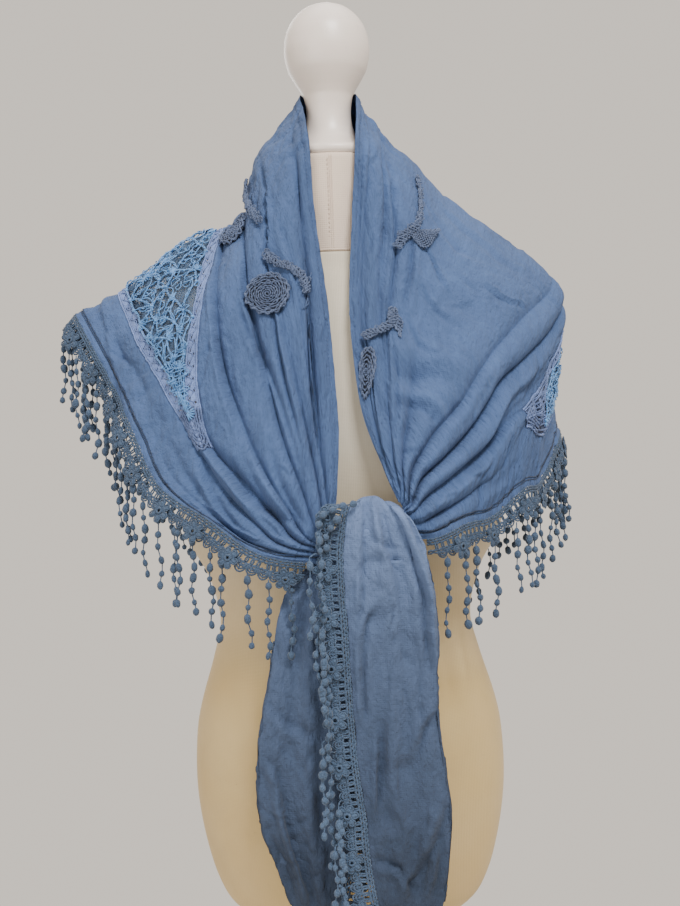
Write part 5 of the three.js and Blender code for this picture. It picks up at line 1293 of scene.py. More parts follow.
def build_rosettes(tones):
    """Crochet roses: two twisted strands wound from the middle out on a round backing drawn very dark
    as painted shade.
    """
    for row in ROSETTES:
        shape = Shape()
        rng = np.random.default_rng(int(row["tall"] * 10))

        def spot(radius, angle, lift, row=row):
            return bridged(row["across"], row["at"], radius * row["wide"] * np.cos(angle),
                           radius * row["tall"] * np.sin(angle), lift)

        small = min(row["wide"] / 20, 1)
        angle = np.linspace(0, row["turns"] * 2 * np.pi, row["turns"] * 62)
        share = .05 + .93 * angle / angle[-1]
        jitter = softened(rng.normal(0, 1, (len(angle), 2)), 2)
        ruffle = .030 * np.sin(angle * 11.3) + .022 * jitter[:, 0]
        lift = (1.7 + .75 * np.sin(angle * 10.7 + 1) + .5 * jitter[:, 1]
                + .9 * np.sin(angle * 4.3) * share * small)
        for strand in (0, 1):
            twist = angle * 14 + strand * np.pi
            path, away = spot(share + ruffle * share + .014 * np.cos(twist), angle,
                              lift + .38 * np.sin(twist))
            tube(shape, path, .6 * (1 + .25 * np.sin(angle * 23 + strand)), away, 4)
        for level in (.95, 1.0):
            turn = np.linspace(0, 2 * np.pi, 130, endpoint=False)
            frill = level + .045 * np.sin(turn * 15 + level * 30) + .02 * np.sin(turn * 6)
            waves = 1.3 + 1.3 * np.cos(turn * 15 + 1) + .6 * np.sin(turn * 7)
            path, away = spot(frill, turn, waves)
            tube(shape, path, .95, away, 5, closed=True)
        rings = np.linspace(.03, .97, 9)
        turn = np.linspace(0, 2 * np.pi, 37)
        points, normals = spot(rings[:, None] + 0 * turn, turn[None, :] + 0 * rings[:, None], .3)
        # The backing takes a very dark copy of the cord: painted shade between the strands.
        shape.finish = 1
        add_shell(shape, points, normals, .7)
        cord = crochet_finish("crochet_cord_" + row["node"], tones.cord, .9)
        # ground is the cord yarn at a quarter of its brightness, as painted shade under the strands.
        ground = crochet_finish("crochet_ground_" + row["node"], shade(tones.cord, .25), .9)
        placed(shape.piece("crochet_" + row["node"], cord, ground), "crochet_cord", row["node"])


def add_tassel(shape):
    """The little tassel of threads at the lower left stem."""
    for k in range(9):
        drop = np.linspace(0, 1, 22)
        side = TASSEL["side"] * drop + (k - 4) * 1.5 * np.sin(np.pi * drop) ** .6 * (1 - .3 * drop)
        up = -TASSEL["drop"] * drop * (1 - .1 * abs(k - 4)) + .8 * np.sin(drop * 22 + k)
        points, off_cloth = bridged(TASSEL["across"], TASSEL["at"],
                                    side + .7 * np.sin(drop * 26 + k * 2), up,
                                    1.5 + .9 * np.sin(drop * 17 + k))
        tube(shape, points, 1.0 * (1 - .35 * drop), off_cloth, 5)


def motif_line(path, count):
    """A motif's line: places on the cloth, points, ways along and across it, sideways and up."""
    line = drawn_through(path, count)
    base, away = bridged(line[:, 0], line[:, 1], 0, 0)
    ahead = unit(np.gradient(base, axis=0))
    return (line, base, ahead, unit(np.cross(ahead, away))) + sheet_ways(line[:, 0], line[:, 1])[3:]


def build_vines(tones):
    """Crochet stems: looping cords plaited along each path, thick with small curls."""
    for seed, row in enumerate(VINES):
        rng = np.random.default_rng(300 + seed)
        shape = Shape()
        line, base, ahead, crossing, side_way, up_way = motif_line(row["path"], STEM_POINTS)
        run = run_along(base)

        def spot(j, off, slide, lift):
            way = crossing[j] * np.asarray(off)[..., None] + ahead[j] * np.asarray(slide)[..., None]
            return bridged(line[j, 0], line[j, 1], (way * side_way[j]).sum(axis=-1),
                           (way * up_way[j]).sum(axis=-1),
                           lift)

        every = np.arange(STEM_POINTS)
        half = row["wide"] / 2 * np.interp(every / (STEM_POINTS - 1),
                                           np.linspace(0, 1, len(row["taper"])),
                                           row["taper"])
        for strand in range(4):
            phase = run / 1.9 + strand * 1.6
            off = half * (.62 * np.sin(phase) + .2 * np.sin(phase * 2.3 + strand))
            points, off_cloth = spot(every, off, 0 * off, row["lift"] + 1.7 + 1.1 * np.cos(phase))
            tube(shape, points, .85, off_cloth, 4)
        for start in np.arange(1.0, run[-1] - .5, 1.5):
            j = int(np.searchsorted(run, start))
            turn = np.linspace(0, 2 * np.pi, 10, endpoint=False)
            size = rng.uniform(1.2, 2.2)
            middle = rng.uniform(-.85, .85) * half[j]
            off = middle + size * np.cos(turn)
            slide = size * np.sin(turn) + rng.uniform(-1, 1)
            lift = row["lift"] + rng.uniform(1.4, 3.0) + .8 * np.sin(turn + rng.uniform(0, 6))
            points, off_cloth = spot(np.full(10, j), off, slide, lift)
            tube(shape, points, .62, off_cloth, 4, closed=True)
        if row["node"] == "vine_left_lower":
            add_tassel(shape)
        cord = crochet_finish("crochet_cord_" + row["node"], tones.cord, .9)
        placed(shape.piece("crochet_" + row["node"], cord), "crochet_cord", row["node"])


def build_leaf_motif(tones):
    """A small crochet leaf: cords that run side by side from end to end, fullest in the middle."""
    shape = Shape()
    line, _, _, crossing, side_way, up_way = motif_line(LEAF_MOTIF["path"], LEAF_POINTS)
    full = np.sin(np.pi * np.linspace(.02, 1, LEAF_POINTS) ** .62) ** .9
    run = np.arange(LEAF_POINTS)
    for k, share in enumerate((-1, -.74, -.5, -.24, 0, .24, .5, .74, 1)):
        off = share * LEAF_MOTIF["wide"] * full + .8 * np.sin(run * 1.25 + k * 2)
        points, off_cloth = bridged(line[:, 0], line[:, 1], off * (crossing * side_way).sum(axis=1),
                                    off * (crossing * up_way).sum(axis=1),
                                    1.3 + 1.4 * (1 - abs(share)) * full + .9
                                    * np.sin(run * 1.1 + k * 2.4))
        tube(shape, points, .72, off_cloth, 5)
    cord = crochet_finish("crochet_cord_leaf_left", tones.cord, .9)
    placed(shape.piece("crochet_leaf_left", cord), "crochet_cord", LEAF_MOTIF["node"])


# The hanging ends and the knot

@lru_cache(maxsize=None)
def tail_grid(front):
    """One hanging end: its grid of points and normals, and which of its cells are there."""
    end = ENDS[front]
    table, (first, last), seed = end["levels"], end["folded"], end["seed"]
    rows = TAIL_ROWS
    place = np.linspace(0, len(table) - 1, rows)
    level = smooth_through(table, place)
    edge, fold, face, z, bow = (level[:, k:k + 1] for k in range(5))
    width = fold - edge
    way = np.sign(width)
    folded = softened(np.where(bow > 2, 1.0, .6), 6)
    share = np.arange(TAIL_FACE)[None, :] / (TAIL_FACE - 1)
    slant = place[:, None] / (len(table) - 1)
    scale = np.minimum(np.abs(width) / 80, 1) * np.minimum(bow / 5, 1)
    pleats = sum(deep * np.exp(-((share - middle - .06 * np.sin(5 * slant)) / wide) ** 2)
                 for middle, deep, wide in TAIL_PLEATS)
    x = edge + width * share
    y = face - bow * np.sin(np.pi * share) + pleats * scale
    turn = np.array([(0, 0, 0), (.75, 1.4, 0), (1, 4.5, 0), (.6, 8, 0), (0, 8.9, .183),
                     (0, 9.9, .367), (0, 8.8, .55)])
    back = smooth_through(turn, np.linspace(0, 6, TAIL_BACK + 1)[1:])
    x_back = fold + way * back[None, :, 0] * 2.4 - width * back[None, :, 2]
    y_back = face + back[None, :, 1] * folded
    z = np.broadcast_to(z, (rows, TAIL_FACE + TAIL_BACK)).copy()
    if front:
        over_knot = np.clip((5.6 - place[:, None]) / 2.6, 0, 1)
        over_knot = over_knot ** 2 * (3 - 2 * over_knot)
        outer = np.abs(2 * share - 1) ** 2.4
        z[:, :TAIL_FACE] -= over_knot * outer * np.where(share < .5, 7, 10)
        y = y + over_knot * outer * 5
        fan = np.sin(share * 19 + .8 * slant * 8) + .5 * np.sin(share * 33 + 2)
        y = y + 1.5 * fan * np.sin(np.pi * np.clip((place[:, None] - 1) / 7, 0, 1))
    points = np.stack([np.concatenate([x, x_back], axis=1), np.concatenate([y, y_back], axis=1), z],
                      axis=-1)
    normals = unit(np.cross(np.gradient(points, axis=0), np.gradient(points, axis=1)))
    if normals[rows // 2, 30, 1] > 0:
        normals = -normals
    height = np.zeros(points.shape[:2])
    one = np.ones(height.shape)
    face_only = (np.arange(TAIL_FACE + TAIL_BACK) < TAIL_FACE)[None, :] * one
    rng = np.random.default_rng(seed)
    small = []
    for _ in range(SMALL_TAIL_CREASES):
        middle = rng.uniform(-5, 85) * -end["side"]
        high, turn = rng.uniform(240, 650), rng.normal(0, .7)
        reach = rng.uniform(6, 22)
        small.append(([(middle + reach * u * math.sin(turn),
                        high - reach * u * math.cos(turn) + 3 * u * u)
                       for u in (-1, -.3, .4, 1)], rng.uniform(.6, 1.6), rng.uniform(1.9, 3.4),
                      rng.choice([-.7, .7])))
    placed_by_hand = [(path, deep * CREASE_GAIN * 1.3, wide * .9, lean) for path, deep, wide,
                      lean in end["creases"]]
    for path, deep, wide, lean in placed_by_hand + small:
        height += crease_height(points[..., 0], points[..., 2], one, one, path, deep, wide,
                                lean) * face_only
    calm = np.clip((690 - points[..., 2]) / 60, .3, 1)
    patchy = .5 + .7 * (.5 + .5 * noise(points[..., 0] / 40, points[..., 2] / 55, seed + 5))
    sink_crinkles(height, points[..., 0], points[..., 2], TAIL_CRINKLES, calm, patchy, seed)
    points = points + normals * height[..., None]
    fine = unit(np.cross(np.gradient(points, axis=0), np.gradient(points, axis=1)))
    fine = np.where((fine * normals).sum(axis=-1, keepdims=True) < 0, -fine, fine)
    present = np.ones((rows - 1, TAIL_FACE + TAIL_BACK - 1), bool)
    middle = (place[1:] + place[:-1]) / 2
    present[(middle < first) | (middle > last), TAIL_FACE - 1:] = False
    return points, fine, present


def build_tail(front, sizes, tones):
    """One hanging end, with the strip folded behind it."""
    points, normals, present = tail_grid(front)
    node = "tail_front" if front else "tail_back"
    shape = Shape()
    spot, below, beside = points[100, 30], points[101, 30], points[100, 31]
    if np.cross(below - spot, beside - spot) @ normals[100, 30] <= 0:
        points, normals, present = points[:, ::-1], normals[:, ::-1], present[:, ::-1]
    used = add_shell(shape, points, normals, sizes.cloth_thickness / MM, present)
    run = np.broadcast_to(np.arange(points.shape[1]) * 1.5, points.shape[:2])
    weave = np.stack([run, points[..., 2], 0 * run], axis=-1).reshape(-1, 3) * MM
    cotton = cotton_finish("cotton_voile_" + node, tones.tail, tones.tail_low)
    piece = shape.piece("scarf_" + node, cotton, weave=np.concatenate([weave, weave])[used])
    placed(piece, "tail_cloth", node)


def build_knot(tones):
    """The wad of cloth that the ends come out of, grooved where it is wound."""
    shape = Shape()
    rows, sides = 60, 96
    level = drawn_through(KNOT, rows)
    angle = np.arange(sides + 1) / sides * 2 * np.pi
    along = np.linspace(0, 1, rows)[:, None]
    wander = angle + .5 * along + .25 * np.sin(along * 5 + angle * 2)
    broad, narrow = 1 - np.abs(np.sin(wander * 4)) ** .7, 1 - np.abs(np.sin(wander * 7 + 1)) ** .6
    groove = 2.6 * broad + 1.2 * narrow
    groove = groove * np.minimum(1, 1.6 * np.sin(np.pi * np.clip(along, .04, .96)) + .3)
    up = (level[:, 3:4] - groove) * np.sin(angle)
    deep = (level[:, 4:5] - groove) * np.cos(angle)
    points = np.stack([level[:, 0:1] + level[:, 5:6] * up, level[:, 1:2] + deep,
                       level[:, 2:3] + up], axis=-1)
    ring = np.arange(sides)
    shape.add(points[:, :-1], [wrapped_faces(rows, sides), ring[None, :],
                               (rows - 1) * sides + ring[None, ::-1]])
    weave = np.stack([angle[None, :-1] * .02 + 0 * along, along * .07 + 0 * angle[None, :-1],
                      0 * along * angle[None, :-1]], axis=-1)
    piece = shape.piece("scarf_knot", cotton_finish("cotton_voile_knot", tones.tail), weave=weave)
    placed(piece, "tail_cloth", "knot_core")


# The crochet trim

class Edge:
    """A line that lace hangs from: its points, its outward ways and its directions off its face."""

    def __init__(self, points, ways, normals):
        self.points, self.ways, self.normals = points, ways, normals
        self.run = run_along(points)
        self.length = float(self.run[-1])

    def read(self, table, s):
        """A table of the edge's points or directions, read at places along it."""
        return np.stack([np.interp(s, self.run, table[:, k]) for k in range(3)], axis=-1)

    def place(self, s, out, lift=0.0):
        """Points beside the edge, outwards and off its face, and the directions off it."""
        s, out, lift = np.broadcast_arrays(np.asarray(s, float), np.asarray(out, float),
                                           np.asarray(lift, float))
        away = unit(self.read(self.normals, s))
        way = unit(self.read(self.ways, s))
        return self.read(self.points, s) + way * out[..., None] + away * lift[..., None], away


@lru_cache(maxsize=None)
def hem_edge():
    """The worn cloth's lower edge, from knot to knot."""
    points = draped_cloth()["points"]
    edge = softened(points[:, -1], 2)
    tangent = unit(np.gradient(edge, axis=0))
    outward = unit(softened(unit(points[:, -1] - points[:, -9]), 6)) + np.array([0, 0, -.7])
    way = unit(outward - tangent * (outward * tangent).sum(axis=1, keepdims=True))
    return Edge(edge, way, unit(np.cross(tangent, way)))


@lru_cache(maxsize=None)
def tail_edge(front):
    """A hanging end's trimmed edge."""
    end = ENDS[front]
    edge = softened(tail_grid(front)[0][int(end["trim_from"] * TAIL_ROWS):TAIL_ROWS - 1, 0], 3)
    tangent = unit(np.gradient(edge, axis=0))
    outward = np.broadcast_to([float(end["side"]), 0, 0], edge.shape)
    way = unit(outward - tangent * (outward * tangent).sum(axis=1, keepdims=True))
    return Edge(edge, way, np.broadcast_to([0.0, -1, 0], edge.shape))


def add_string(shape, hook, sizes, rng, sway=None):
    """A hanging thread with crochet bobbles on it, uneven as hand work is."""
    drop = sizes.string_drop / MM * rng.uniform(.9, 1.04)
    bobble = sizes.bobble_diameter / MM / 2
    count = int(round(drop / (sizes.bobble_pitch / MM)))
    pitch = drop / count
    offsets = np.array([-1, -.72, -.3, .3, .72, 1])
    depths, radii = [0.0], [.62]
    for k in range(count):
        middle = pitch * (k + .62) + rng.uniform(-1.3, 1.3)
        size = bobble * rng.uniform(.74, 1.18)
        tall = size * rng.uniform(.95, 1.35)
        for o in offsets:
            depths.append(middle + o * tall)
            radii.append(max(size * math.sqrt(max(1 - o * o, 0)), .62) * rng.uniform(.9, 1.08))
    depths, radii = np.maximum.accumulate(np.array(depths)), np.array(radii)
    depths = depths + np.arange(len(depths)) * .01
    sway = rng.uniform(-1, 1, 2) * (3.4, 2.0) if sway is None else sway
    share = depths / drop
    wobble = np.stack([np.sin(share * 11 + hook[0]) * 1.8, np.cos(share * 9 + hook[2]) * 1.4],
                      axis=1)
    wobble = wobble * np.minimum(share * 1.6, 1)[:, None]
    path = np.stack([hook[0] + sway[0] * share ** 2 + wobble[:, 0],
                     hook[1] + sway[1] * share ** 2 + wobble[:, 1],
                     hook[2] - depths], axis=1)
    tube(shape, path, radii, (math.sin(hook[0]), math.cos(hook[0]), 0), 6)


def add_flower(shape, edge, s, out, turn, lift, size=1.0):
    """A six-petalled crochet flower lying in the trim."""
    centre, away = edge.place(s, out, lift)
    along = edge.place(s + 1, out, lift)[0] - centre
    away = away / np.linalg.norm(away)
    along = along - away * (along @ away)
    along = along / np.linalg.norm(along)
    other = np.cross(away, along)
    for petal in range(6):
        angle = turn + petal * math.pi / 3
        ray = along * math.cos(angle) + other * math.sin(angle)
        side = np.cross(away, ray)
        middle = centre + ray * 7.6 * size
        blob(shape, middle, [ray * 4.6 * size, side * 3.1 * size, away * 1.2], 8, 3)
        loop = np.linspace(0, 2 * np.pi, 10, endpoint=False)
        path = (middle + np.outer(np.cos(loop) * 4.9 * size, ray)
                + np.outer(np.sin(loop) * 3.3 * size * (1 + .25 * np.cos(loop)), side))
        tube(shape, path + away * .5, .8, away, 4, closed=True)
    loop = np.linspace(0, 2 * np.pi, 14, endpoint=False)
    path = (centre + np.outer(np.cos(loop) * 2.9 * size, along)
            + np.outer(np.sin(loop) * 2.9 * size, other))
    tube(shape, path + away * 1.2, 1.2, away, 5, closed=True)


def add_trim(shape, edge, start, end, sizes, seed, hanging):
    """Crochet lace along an edge: braids, a ladder, scallops, flowers and strings of bobbles."""
    rng = np.random.default_rng(seed)
    s = np.arange(start + .4, end - .3, TRIM_STEP)
    bends = np.arange(start - 20, end + 20, 9.0)
    wave = np.interp(s, bends, rng.uniform(-1, 1, len(bends)))
    for out, thick, beat in ((.8, 1.0, 2.6), (2.9, 1.25, 3.3), (5.4, 1.2, 3.1), (LADDER, 1.15, 2.7),
                             (LADDER + 2.2, .85, 2.3)):
        path, away = edge.place(s, out + .4 * np.sin(s * 1.3 + out) + .5 * wave * out / LADDER,
                                .3 + .55 * np.cos(s * 2 * np.pi / beat))
        tube(shape, path, thick * (1 + .25 * np.sin(s * 2 * np.pi / beat + out)), away, 4, flat=.85)
    for s in np.arange(start + 4, end - 3, RUNG_PITCH):
        s = s + rng.uniform(-.9, .9)
        lean = rng.uniform(-1.2, 1.2)
        for off in (-.8, .8):
            out = np.linspace(5.6, LADDER, 5)
            path, away = edge.place(s + off * np.sin(np.linspace(.3, 2.8, 5)) + .3 * off + lean
                                    * np.linspace(0, 1, 5),
                                    out, .2 + .3 * off)
            tube(shape, path, .95, away, 4)
    for s in np.arange(start + 3, end - SCALLOP, SCALLOP):
        u = np.linspace(0, np.pi, 9)
        tall = rng.uniform(.85, 1.1)
        for grow, lift in ((1.0, .2), (.68, .7), (.36, .4)):
            path, away = edge.place(s + SCALLOP / 2 - np.cos(u) * SCALLOP / 2 * (.4 + .6 * grow),
                                    LADDER + 1 + 8.6 * grow * tall * np.sin(u),
                                    lift + .5 * np.sin(u * 5))
            tube(shape, path, .9, away, 4)
        for spoke in (-.28, 0, .28):
            middle = s + SCALLOP * (.5 + spoke)
            path, away = edge.place(np.array([middle, middle + .4, middle]),
                                    LADDER + np.array([0, 4, 8.2 * tall * (1 - abs(spoke))]), .5)
            tube(shape, path, .7, away, 4)
    for s in np.arange(start + 18, end - 12, sizes.flower_pitch / MM):
        add_flower(shape, edge, s + rng.uniform(-3, 3), LADDER + 5.2, rng.uniform(0, 1), 2.4,
                   rng.uniform(.82, .96))
    for s in np.arange(start + 9, end - 5, sizes.string_pitch / MM):
        place = s + rng.uniform(-4.5, 4.5)
        hanging(shape, place, rng)
        if rng.random() < .16:
            hanging(shape, place + rng.uniform(2.5, 4.5), rng)


def add_bobble_cord(shape, path, sizes, rng):
    """A cord of bobbles lying along a path."""
    line = drawn_through(path, 160)
    run = run_along(line)
    radius = np.full(len(line), .62)
    for middle in np.arange(4, run[-1] - 2, sizes.bobble_pitch / MM * .86):
        big = sizes.bobble_diameter / MM / 2 * rng.uniform(.85, 1.15)
        radius = np.maximum(radius, big * np.sqrt(np.clip(1 - ((run - middle) / big) ** 2, 0, 1)))
    tube(shape, line, radius, (0, -1, .2), 8)


def build_hem_trims(sizes, tones):
    """The trim along the worn cloth's lower edge, in its three stretches."""
    edge = hem_edge()
    right, left = (float(edge.run[r]) for r in crest_rows())
    material = crochet_finish("crochet_trim", tones.trim)

    def hang(shape, s, rng):
        hook, _ = edge.place(s, LADDER + 8.5, .2)
        add_string(shape, hook, sizes, rng)

    for node, start, end, seed in (("trim_right_front", 14.0, right, 101),
                                   ("trim_back", right, left, 102),
                                   ("trim_left_front", left, edge.length - 12, 103)):
        shape = Shape()
        add_trim(shape, edge, start, end, sizes, seed, hang)
        placed(shape.piece("crochet_" + node, material), "crochet_trim", node)


def build_tail_trims(sizes, tones):
    """The trims of the two hanging ends, and the cords of bobbles thrown over the knot."""
    material = crochet_finish("crochet_trim_tails", shade(tones.trim, 1.25))
    for front, node, seed in ((True, "trim_tail_front", 111), (False, "trim_tail_back", 112)):
        edge = tail_edge(front)

        def hang(shape, s, rng, edge=edge, end=ENDS[front]):
            hook, _ = edge.place(s, LADDER + 7.5, .2)
            slide, fore = end["slots"][int(round(s / (sizes.string_pitch / MM))) % 4]
            start = hook + np.array([end["side"] * slide, fore, -1.5])
            lead = np.stack([hook + (start - hook) * t + [0, 0, 2.5 * math.sin(math.pi * t)]
                             for t in np.linspace(0, 1, 5)])
            tube(shape, lead, .75, (0, 0, 1), 4)
            if start[2] - 80 > 205:
                add_string(shape, start, sizes, rng, sway=rng.uniform(-1, 1, 2) * 1.4)

        shape = Shape()
        add_trim(shape, edge, 3, edge.length - 3, sizes, seed, hang)
        if front:
            rng = np.random.default_rng(140)
            for path in OVER_KNOT_CORDS:
                add_bobble_cord(shape, path, sizes, rng)
        placed(shape.piece("crochet_" + node, material), "crochet_trim", node)


# The form and its stand

def lathe(shape, profile, sides, smooth=False, squash=1.0):
    """A turned form from its profile of radius and height."""
    profile = drawn_through(profile, 5 * len(profile)) if smooth else np.asarray(profile, float)
    angle = np.arange(sides) / sides * 2 * np.pi
    points = np.stack([profile[:, :1] * squash * np.cos(angle),
                       profile[:, :1] * squash * np.sin(angle),
                       np.broadcast_to(profile[:, 1:], (len(profile), sides))], axis=-1)
    close_rings(shape, points)


def close_rings(shape, points):
    """A closed form through rings of points, flat at its foot and top."""
    rings, sides = points.shape[:2]
    foot = np.arange(sides)[None, ::-1]
    top = (rings - 1) * sides + np.arange(sides)[None, :]
    shape.add(points, [wrapped_faces(rings, sides, flip=True), foot, top])


def build_finial(tones):
    """The painted ball on top."""
    shape = Shape()
    lathe(shape, FINIAL, 72, smooth=True, squash=.996)
    placed(shape.piece("form_finial", paint_finish("old_white_paint", tones.paint)), "form_paint",
           "finial")


def build_neck_block(tones):
    """The canvas neck block, with a stitched seam down its front and a cord at its foot."""
    shape = Shape()
    lathe(shape, NECK_BLOCK, 96)
    down = np.linspace(0, 1, 60)
    radius = np.interp(down, [0, .2, 1], [53.4, 52.4, 51.8])
    for side in (-1, 1):
        path = np.stack([np.full(60, .9 * side), -np.sqrt(radius ** 2 - .8) - .1,
                         np.linspace(933, 1027, 60)], axis=1)
        tube(shape, path, .5, (0, -1, 0), 6)
    for z in np.arange(936, 1025, 4.5):
        tube(shape, np.array([[-2.2, -52.6, z], [-3.6, -52.7, z + 1.2], [-2.4, -52.6, z + 2.4]]),
             .3, (0, -1, 0), 4)
    ring = np.linspace(0, 2 * np.pi, 120, endpoint=False)
    circle = np.stack([53.6 * np.cos(ring), 53.6 * np.sin(ring), np.full(120, 932.4)], axis=1)
    tube(shape, circle, 1.1, (0, 0, 1), 6, closed=True)
    placed(shape.piece("form_neck_block", canvas_finish("cream_canvas", tones.canvas)),
           "form_canvas", "neck_block")


def build_torso(tones):
    """The padded torso under its jersey, with a seam down each side."""
    rows, sides = 96, 96
    level = drawn_through(TORSO, rows)
    z, half, front, back = (level[:, k:k + 1] for k in range(4))
    angle = np.arange(sides) / sides * 2 * np.pi
    c, s = np.cos(angle)[None, :], np.sin(angle)[None, :]
    power = 2 / BODY_SQUARENESS
    x = half * np.sign(c) * np.abs(c) ** power
    y = np.where(s < 0, front, back) * np.sign(s) * np.abs(s) ** power
    for bell in bust_bells(x, z):
        y = y - bell * np.maximum(-s, 0)
    seam = .9 * np.exp(-((np.abs(s) / .03) ** 2)) * (z > 300)
    points = np.stack([x * .993 - np.sign(x) * seam, y * .993, z + 0 * x], axis=-1)
    shape = Shape()
    close_rings(shape, points)
    placed(shape.piece("form_torso", jersey_finish("cream_jersey", tones.jersey, tones.jersey_low)),
           "form_jersey", "torso")


def build_stand(tones):
    """The steel pole with its collar, and the round base."""
    metal = metal_finish("brushed_metal", tones.metal)
    shape = Shape()
    lathe(shape, POLE, 64)
    lathe(shape, COLLAR, 64)
    placed(shape.piece("stand_pole", metal), "stand_metal", "pole")
    shape = Shape()
    lathe(shape, BASE, 128)
    placed(shape.piece("stand_base", metal), "stand_metal", "base")


# Camera, light and floor

PHOTO_HEIGHT, FOCAL_PIXELS = 906, 1456.3
SENSOR = 36
CAMERA_AWAY, CAMERA_HEIGHT = 1.5, .73
CAMERA_ROLL = math.radians(1.909)
# Name, place, what it is aimed at, size and power of each light.
LIGHTS = [
    ("key_light", (.7, -1.9, 3.0), (0, 0, .85), .9, 112),
    ("fill_light", (-1.5, -2.3, 1.0), (0, 0, .75), 1.6, 26),
    ("top_light", (.2, .3, 3.0), (0, 0, .9), 1.6, 18),
    ("back_light", (-.8, 2.6, 1.8), (0, 0, .8), 2.0, 40),
]
WALL_COLOUR, WALL_STRENGTH = (230, 221, 209), 1.15


def build_stage(tones):
    """The camera as the photo had it, the floor, four soft lights and an even pale room."""
    camera = bpy.data.objects.new("camera", bpy.data.cameras.new("camera"))
    camera.data.sensor_width = SENSOR
    camera.data.lens = FOCAL_PIXELS / PHOTO_HEIGHT * SENSOR
    c, s = math.cos(CAMERA_ROLL), math.sin(CAMERA_ROLL)
    camera.matrix_world = Matrix(((c, s, 0, 0), (0, 0, -1, -CAMERA_AWAY), (-s, c, 0, CAMERA_HEIGHT),
                                  (0, 0, 0, 1)))
    bpy.context.scene.collection.objects.link(camera)
    bpy.context.scene.camera = camera

    shape = Shape()
    lathe(shape, FLOOR_DISC, 128)
    shape.piece("floor", floor_finish("pale_floor", tones.floor))

    for name, place, aim, size, watts in LIGHTS:
        light = bpy.data.objects.new(name, bpy.data.lights.new(name, "AREA"))
        light.data.size = size
        light.data.energy = watts
        light.location = place
        light.rotation_mode = "QUATERNION"
        light.rotation_quaternion = (Vector(aim) - Vector(place)).to_track_quat("-Z", "Y")
        bpy.context.scene.collection.objects.link(light)
    world = bpy.data.worlds.new("soft_room")
    world.use_nodes = True
    background = world.node_tree.nodes["Background"].inputs
    background["Color"].default_value = (*linear(*WALL_COLOUR), 1)
    background["Strength"].default_value = WALL_STRENGTH
    bpy.context.scene.world = world


# Add-on layout

def tone_property(name, description, parts):
    """A colour that the panel shows, given as on a screen."""
    return bpy.props.FloatVectorProperty(name=name, description=description, subtype="COLOR",
                                         size=3, min=0, max=1,
                                         default=linear(*parts))


def length_property(name, description, value):
    """A length in metres that the panel shows."""
    return bpy.props.FloatProperty(name=name, description=description, default=value, min=.0001,
                                   unit="LENGTH",
                                   subtype="DISTANCE")


class ScarfSizes(bpy.types.PropertyGroup):
    cloth_thickness: length_property("Cloth thickness",
                                     "Thickness of the cotton, drawn a little stout", .0011)
    edging_width: length_property("Edging width", "Width of the braid round each leaf inset", .012)
    string_drop: length_property("String length", "How far each string of bobbles hangs", .077)
    string_pitch: length_property("String spacing", "Distance from one string to the next", .0205)
    bobble_pitch: length_property("Bobble spacing", "Distance from one bobble to the next", .0114)
    bobble_diameter: length_property("Bobble diameter", "Across one crochet bobble", .0069)
    flower_pitch: length_property("Flower spacing", "Distance from one trim flower to the next",
                                  .045)


class ScarfTones(bpy.types.PropertyGroup):
    cloth: tone_property("Cloth", "Dye of the worn cotton", (67, 88, 127))
    tail: tone_property("Hanging ends", "Dye of the two hanging ends at the knot", (98, 118, 156))
    # The colour the hanging ends darken to towards their foot.
    tail_low: tone_property("Hanging ends, low", "Dye of the hanging ends at their foot",
                            (23, 29, 36))
    cord: tone_property("Crochet motifs", "Yarn of the rosettes, stems and leaf", (82, 96, 126))
    trim: tone_property("Crochet trim", "Yarn of the hem trim and its strings", (64, 82, 106))
    net: tone_property("Net cord", "Shiny cord of the leaf insets", (84, 146, 210))
    mesh: tone_property("Net ground", "Fine mesh behind the bright cord", (92, 118, 152))
    edging: tone_property("Edging braid", "Braid round the leaf insets", (114, 136, 188))
    jersey: tone_property("Form jersey", "Knit cover of the torso at the breast", (200, 192, 176))
    jersey_low: tone_property("Form jersey, low", "Knit cover of the torso at the hips",
                              (193, 166, 114))
    canvas: tone_property("Neck canvas", "Canvas of the neck block", (212, 194, 178))
    paint: tone_property("Finial paint", "Paint of the ball finial", (220, 208, 198))
    metal: tone_property("Stand metal", "Metal of the pole and base", (150, 150, 150))
    floor: tone_property("Floor", "Pale studio floor", (222, 216, 206))


class SCARF_OT_cloth(bpy.types.Operator):
    """Builds the worn cloth in its three stretches, with its hem stitches"""
    bl_idname = "scarf.cloth"
    bl_label = "Worn cloth"

    def execute(self, context):
        build_cloth(context.scene.scarf_sizes, context.scene.scarf_tones)
        build_stitches(context.scene.scarf_tones)
        return {"FINISHED"}


class SCARF_OT_insets(bpy.types.Operator):
    """Builds the two leaf-shaped lace insets"""
    bl_idname = "scarf.insets"
    bl_label = "Lace insets"

    def execute(self, context):
        for seed, (name, leaf) in enumerate(LEAVES.items()):
            build_inset(name, leaf, context.scene.scarf_sizes, context.scene.scarf_tones,
                        201 + seed)
        return {"FINISHED"}


class SCARF_OT_motifs(bpy.types.Operator):
    """Builds the crochet rosettes, stems and leaf sewn on the cloth"""
    bl_idname = "scarf.motifs"
    bl_label = "Crochet motifs"

    def execute(self, context):
        build_rosettes(context.scene.scarf_tones)
        build_vines(context.scene.scarf_tones)
        build_leaf_motif(context.scene.scarf_tones)
        return {"FINISHED"}


class SCARF_OT_ends(bpy.types.Operator):
    """Builds the two hanging ends and the knot"""
    bl_idname = "scarf.ends"
    bl_label = "Hanging ends and knot"

    def execute(self, context):
        for front in (True, False):
            build_tail(front, context.scene.scarf_sizes, context.scene.scarf_tones)
        build_knot(context.scene.scarf_tones)
        return {"FINISHED"}


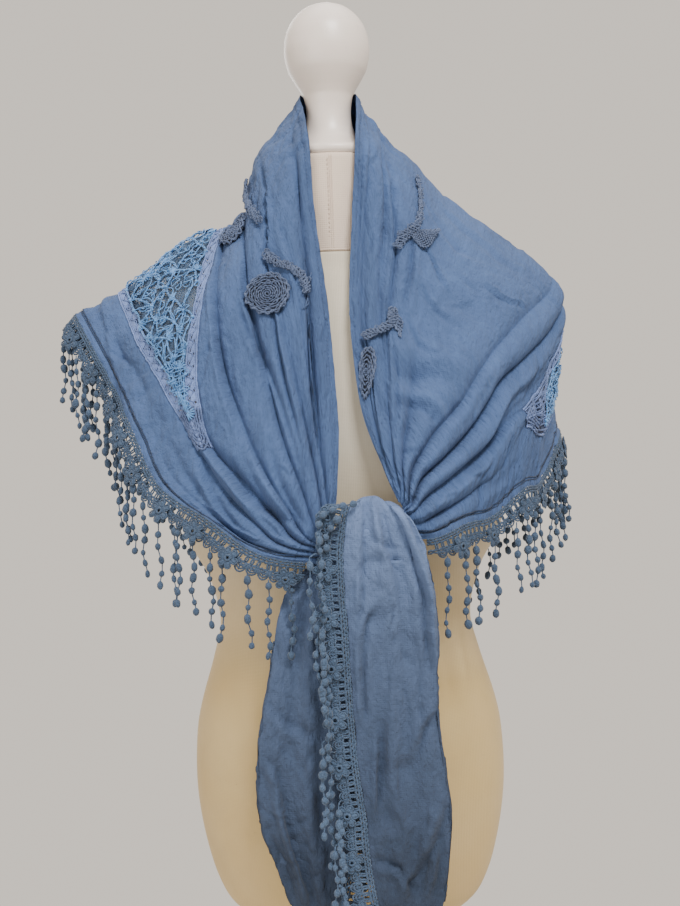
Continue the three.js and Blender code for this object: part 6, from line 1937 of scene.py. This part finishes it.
class SCARF_OT_trims(bpy.types.Operator):
    """Builds the crochet trim with its flowers and strings of bobbles"""
    bl_idname = "scarf.trims"
    bl_label = "Crochet trim"

    def execute(self, context):
        build_hem_trims(context.scene.scarf_sizes, context.scene.scarf_tones)
        build_tail_trims(context.scene.scarf_sizes, context.scene.scarf_tones)
        return {"FINISHED"}


class SCARF_OT_form(bpy.types.Operator):
    """Builds the dress form, its finial and its stand"""
    bl_idname = "scarf.form"
    bl_label = "Dress form"

    def execute(self, context):
        for build in (build_finial, build_neck_block, build_torso, build_stand):
            build(context.scene.scarf_tones)
        return {"FINISHED"}


class SCARF_OT_stage(bpy.types.Operator):
    """Sets up the camera, the soft lights and the floor"""
    bl_idname = "scarf.stage"
    bl_label = "Stage"

    def execute(self, context):
        build_stage(context.scene.scarf_tones)
        return {"FINISHED"}


class SCARF_OT_sheets(bpy.types.Operator):
    """A step that does nothing"""
    bl_idname = "scarf.sheets"
    bl_label = "Cloth cuts"

    def execute(self, context):
        return {"FINISHED"}


STEPS = ("stage", "cloth", "insets", "motifs", "ends", "trims", "form", "sheets")


class SCARF_PT_panel(bpy.types.Panel):
    """Lists the steps that build the scarf and its form"""
    bl_idname = "SCARF_PT_panel"
    bl_label = "Triangle scarf"
    bl_space_type = "VIEW_3D"
    bl_region_type = "UI"
    bl_category = "Scarf"

    def draw(self, context):
        for step in STEPS:
            self.layout.operator("scarf." + step)
        for group in (context.scene.scarf_sizes, context.scene.scarf_tones):
            for name in group.__annotations__:
                self.layout.prop(group, name)


CLASSES = (ScarfSizes, ScarfTones, SCARF_OT_cloth, SCARF_OT_insets, SCARF_OT_motifs, SCARF_OT_ends,
           SCARF_OT_trims,
           SCARF_OT_form, SCARF_OT_stage, SCARF_OT_sheets, SCARF_PT_panel)


def register():
    """Registers the classes and adds their settings to the scene."""
    for item in CLASSES:
        bpy.utils.register_class(item)
    bpy.types.Scene.scarf_sizes = bpy.props.PointerProperty(type=ScarfSizes)
    bpy.types.Scene.scarf_tones = bpy.props.PointerProperty(type=ScarfTones)


def unregister():
    """Takes the settings and classes out again."""
    del bpy.types.Scene.scarf_sizes
    del bpy.types.Scene.scarf_tones
    for item in reversed(CLASSES):
        bpy.utils.unregister_class(item)


def main():
    """Builds everything in order."""
    register()
    for step in STEPS:
        getattr(bpy.ops.scarf, step)()


if __name__ == "__main__":
    main()
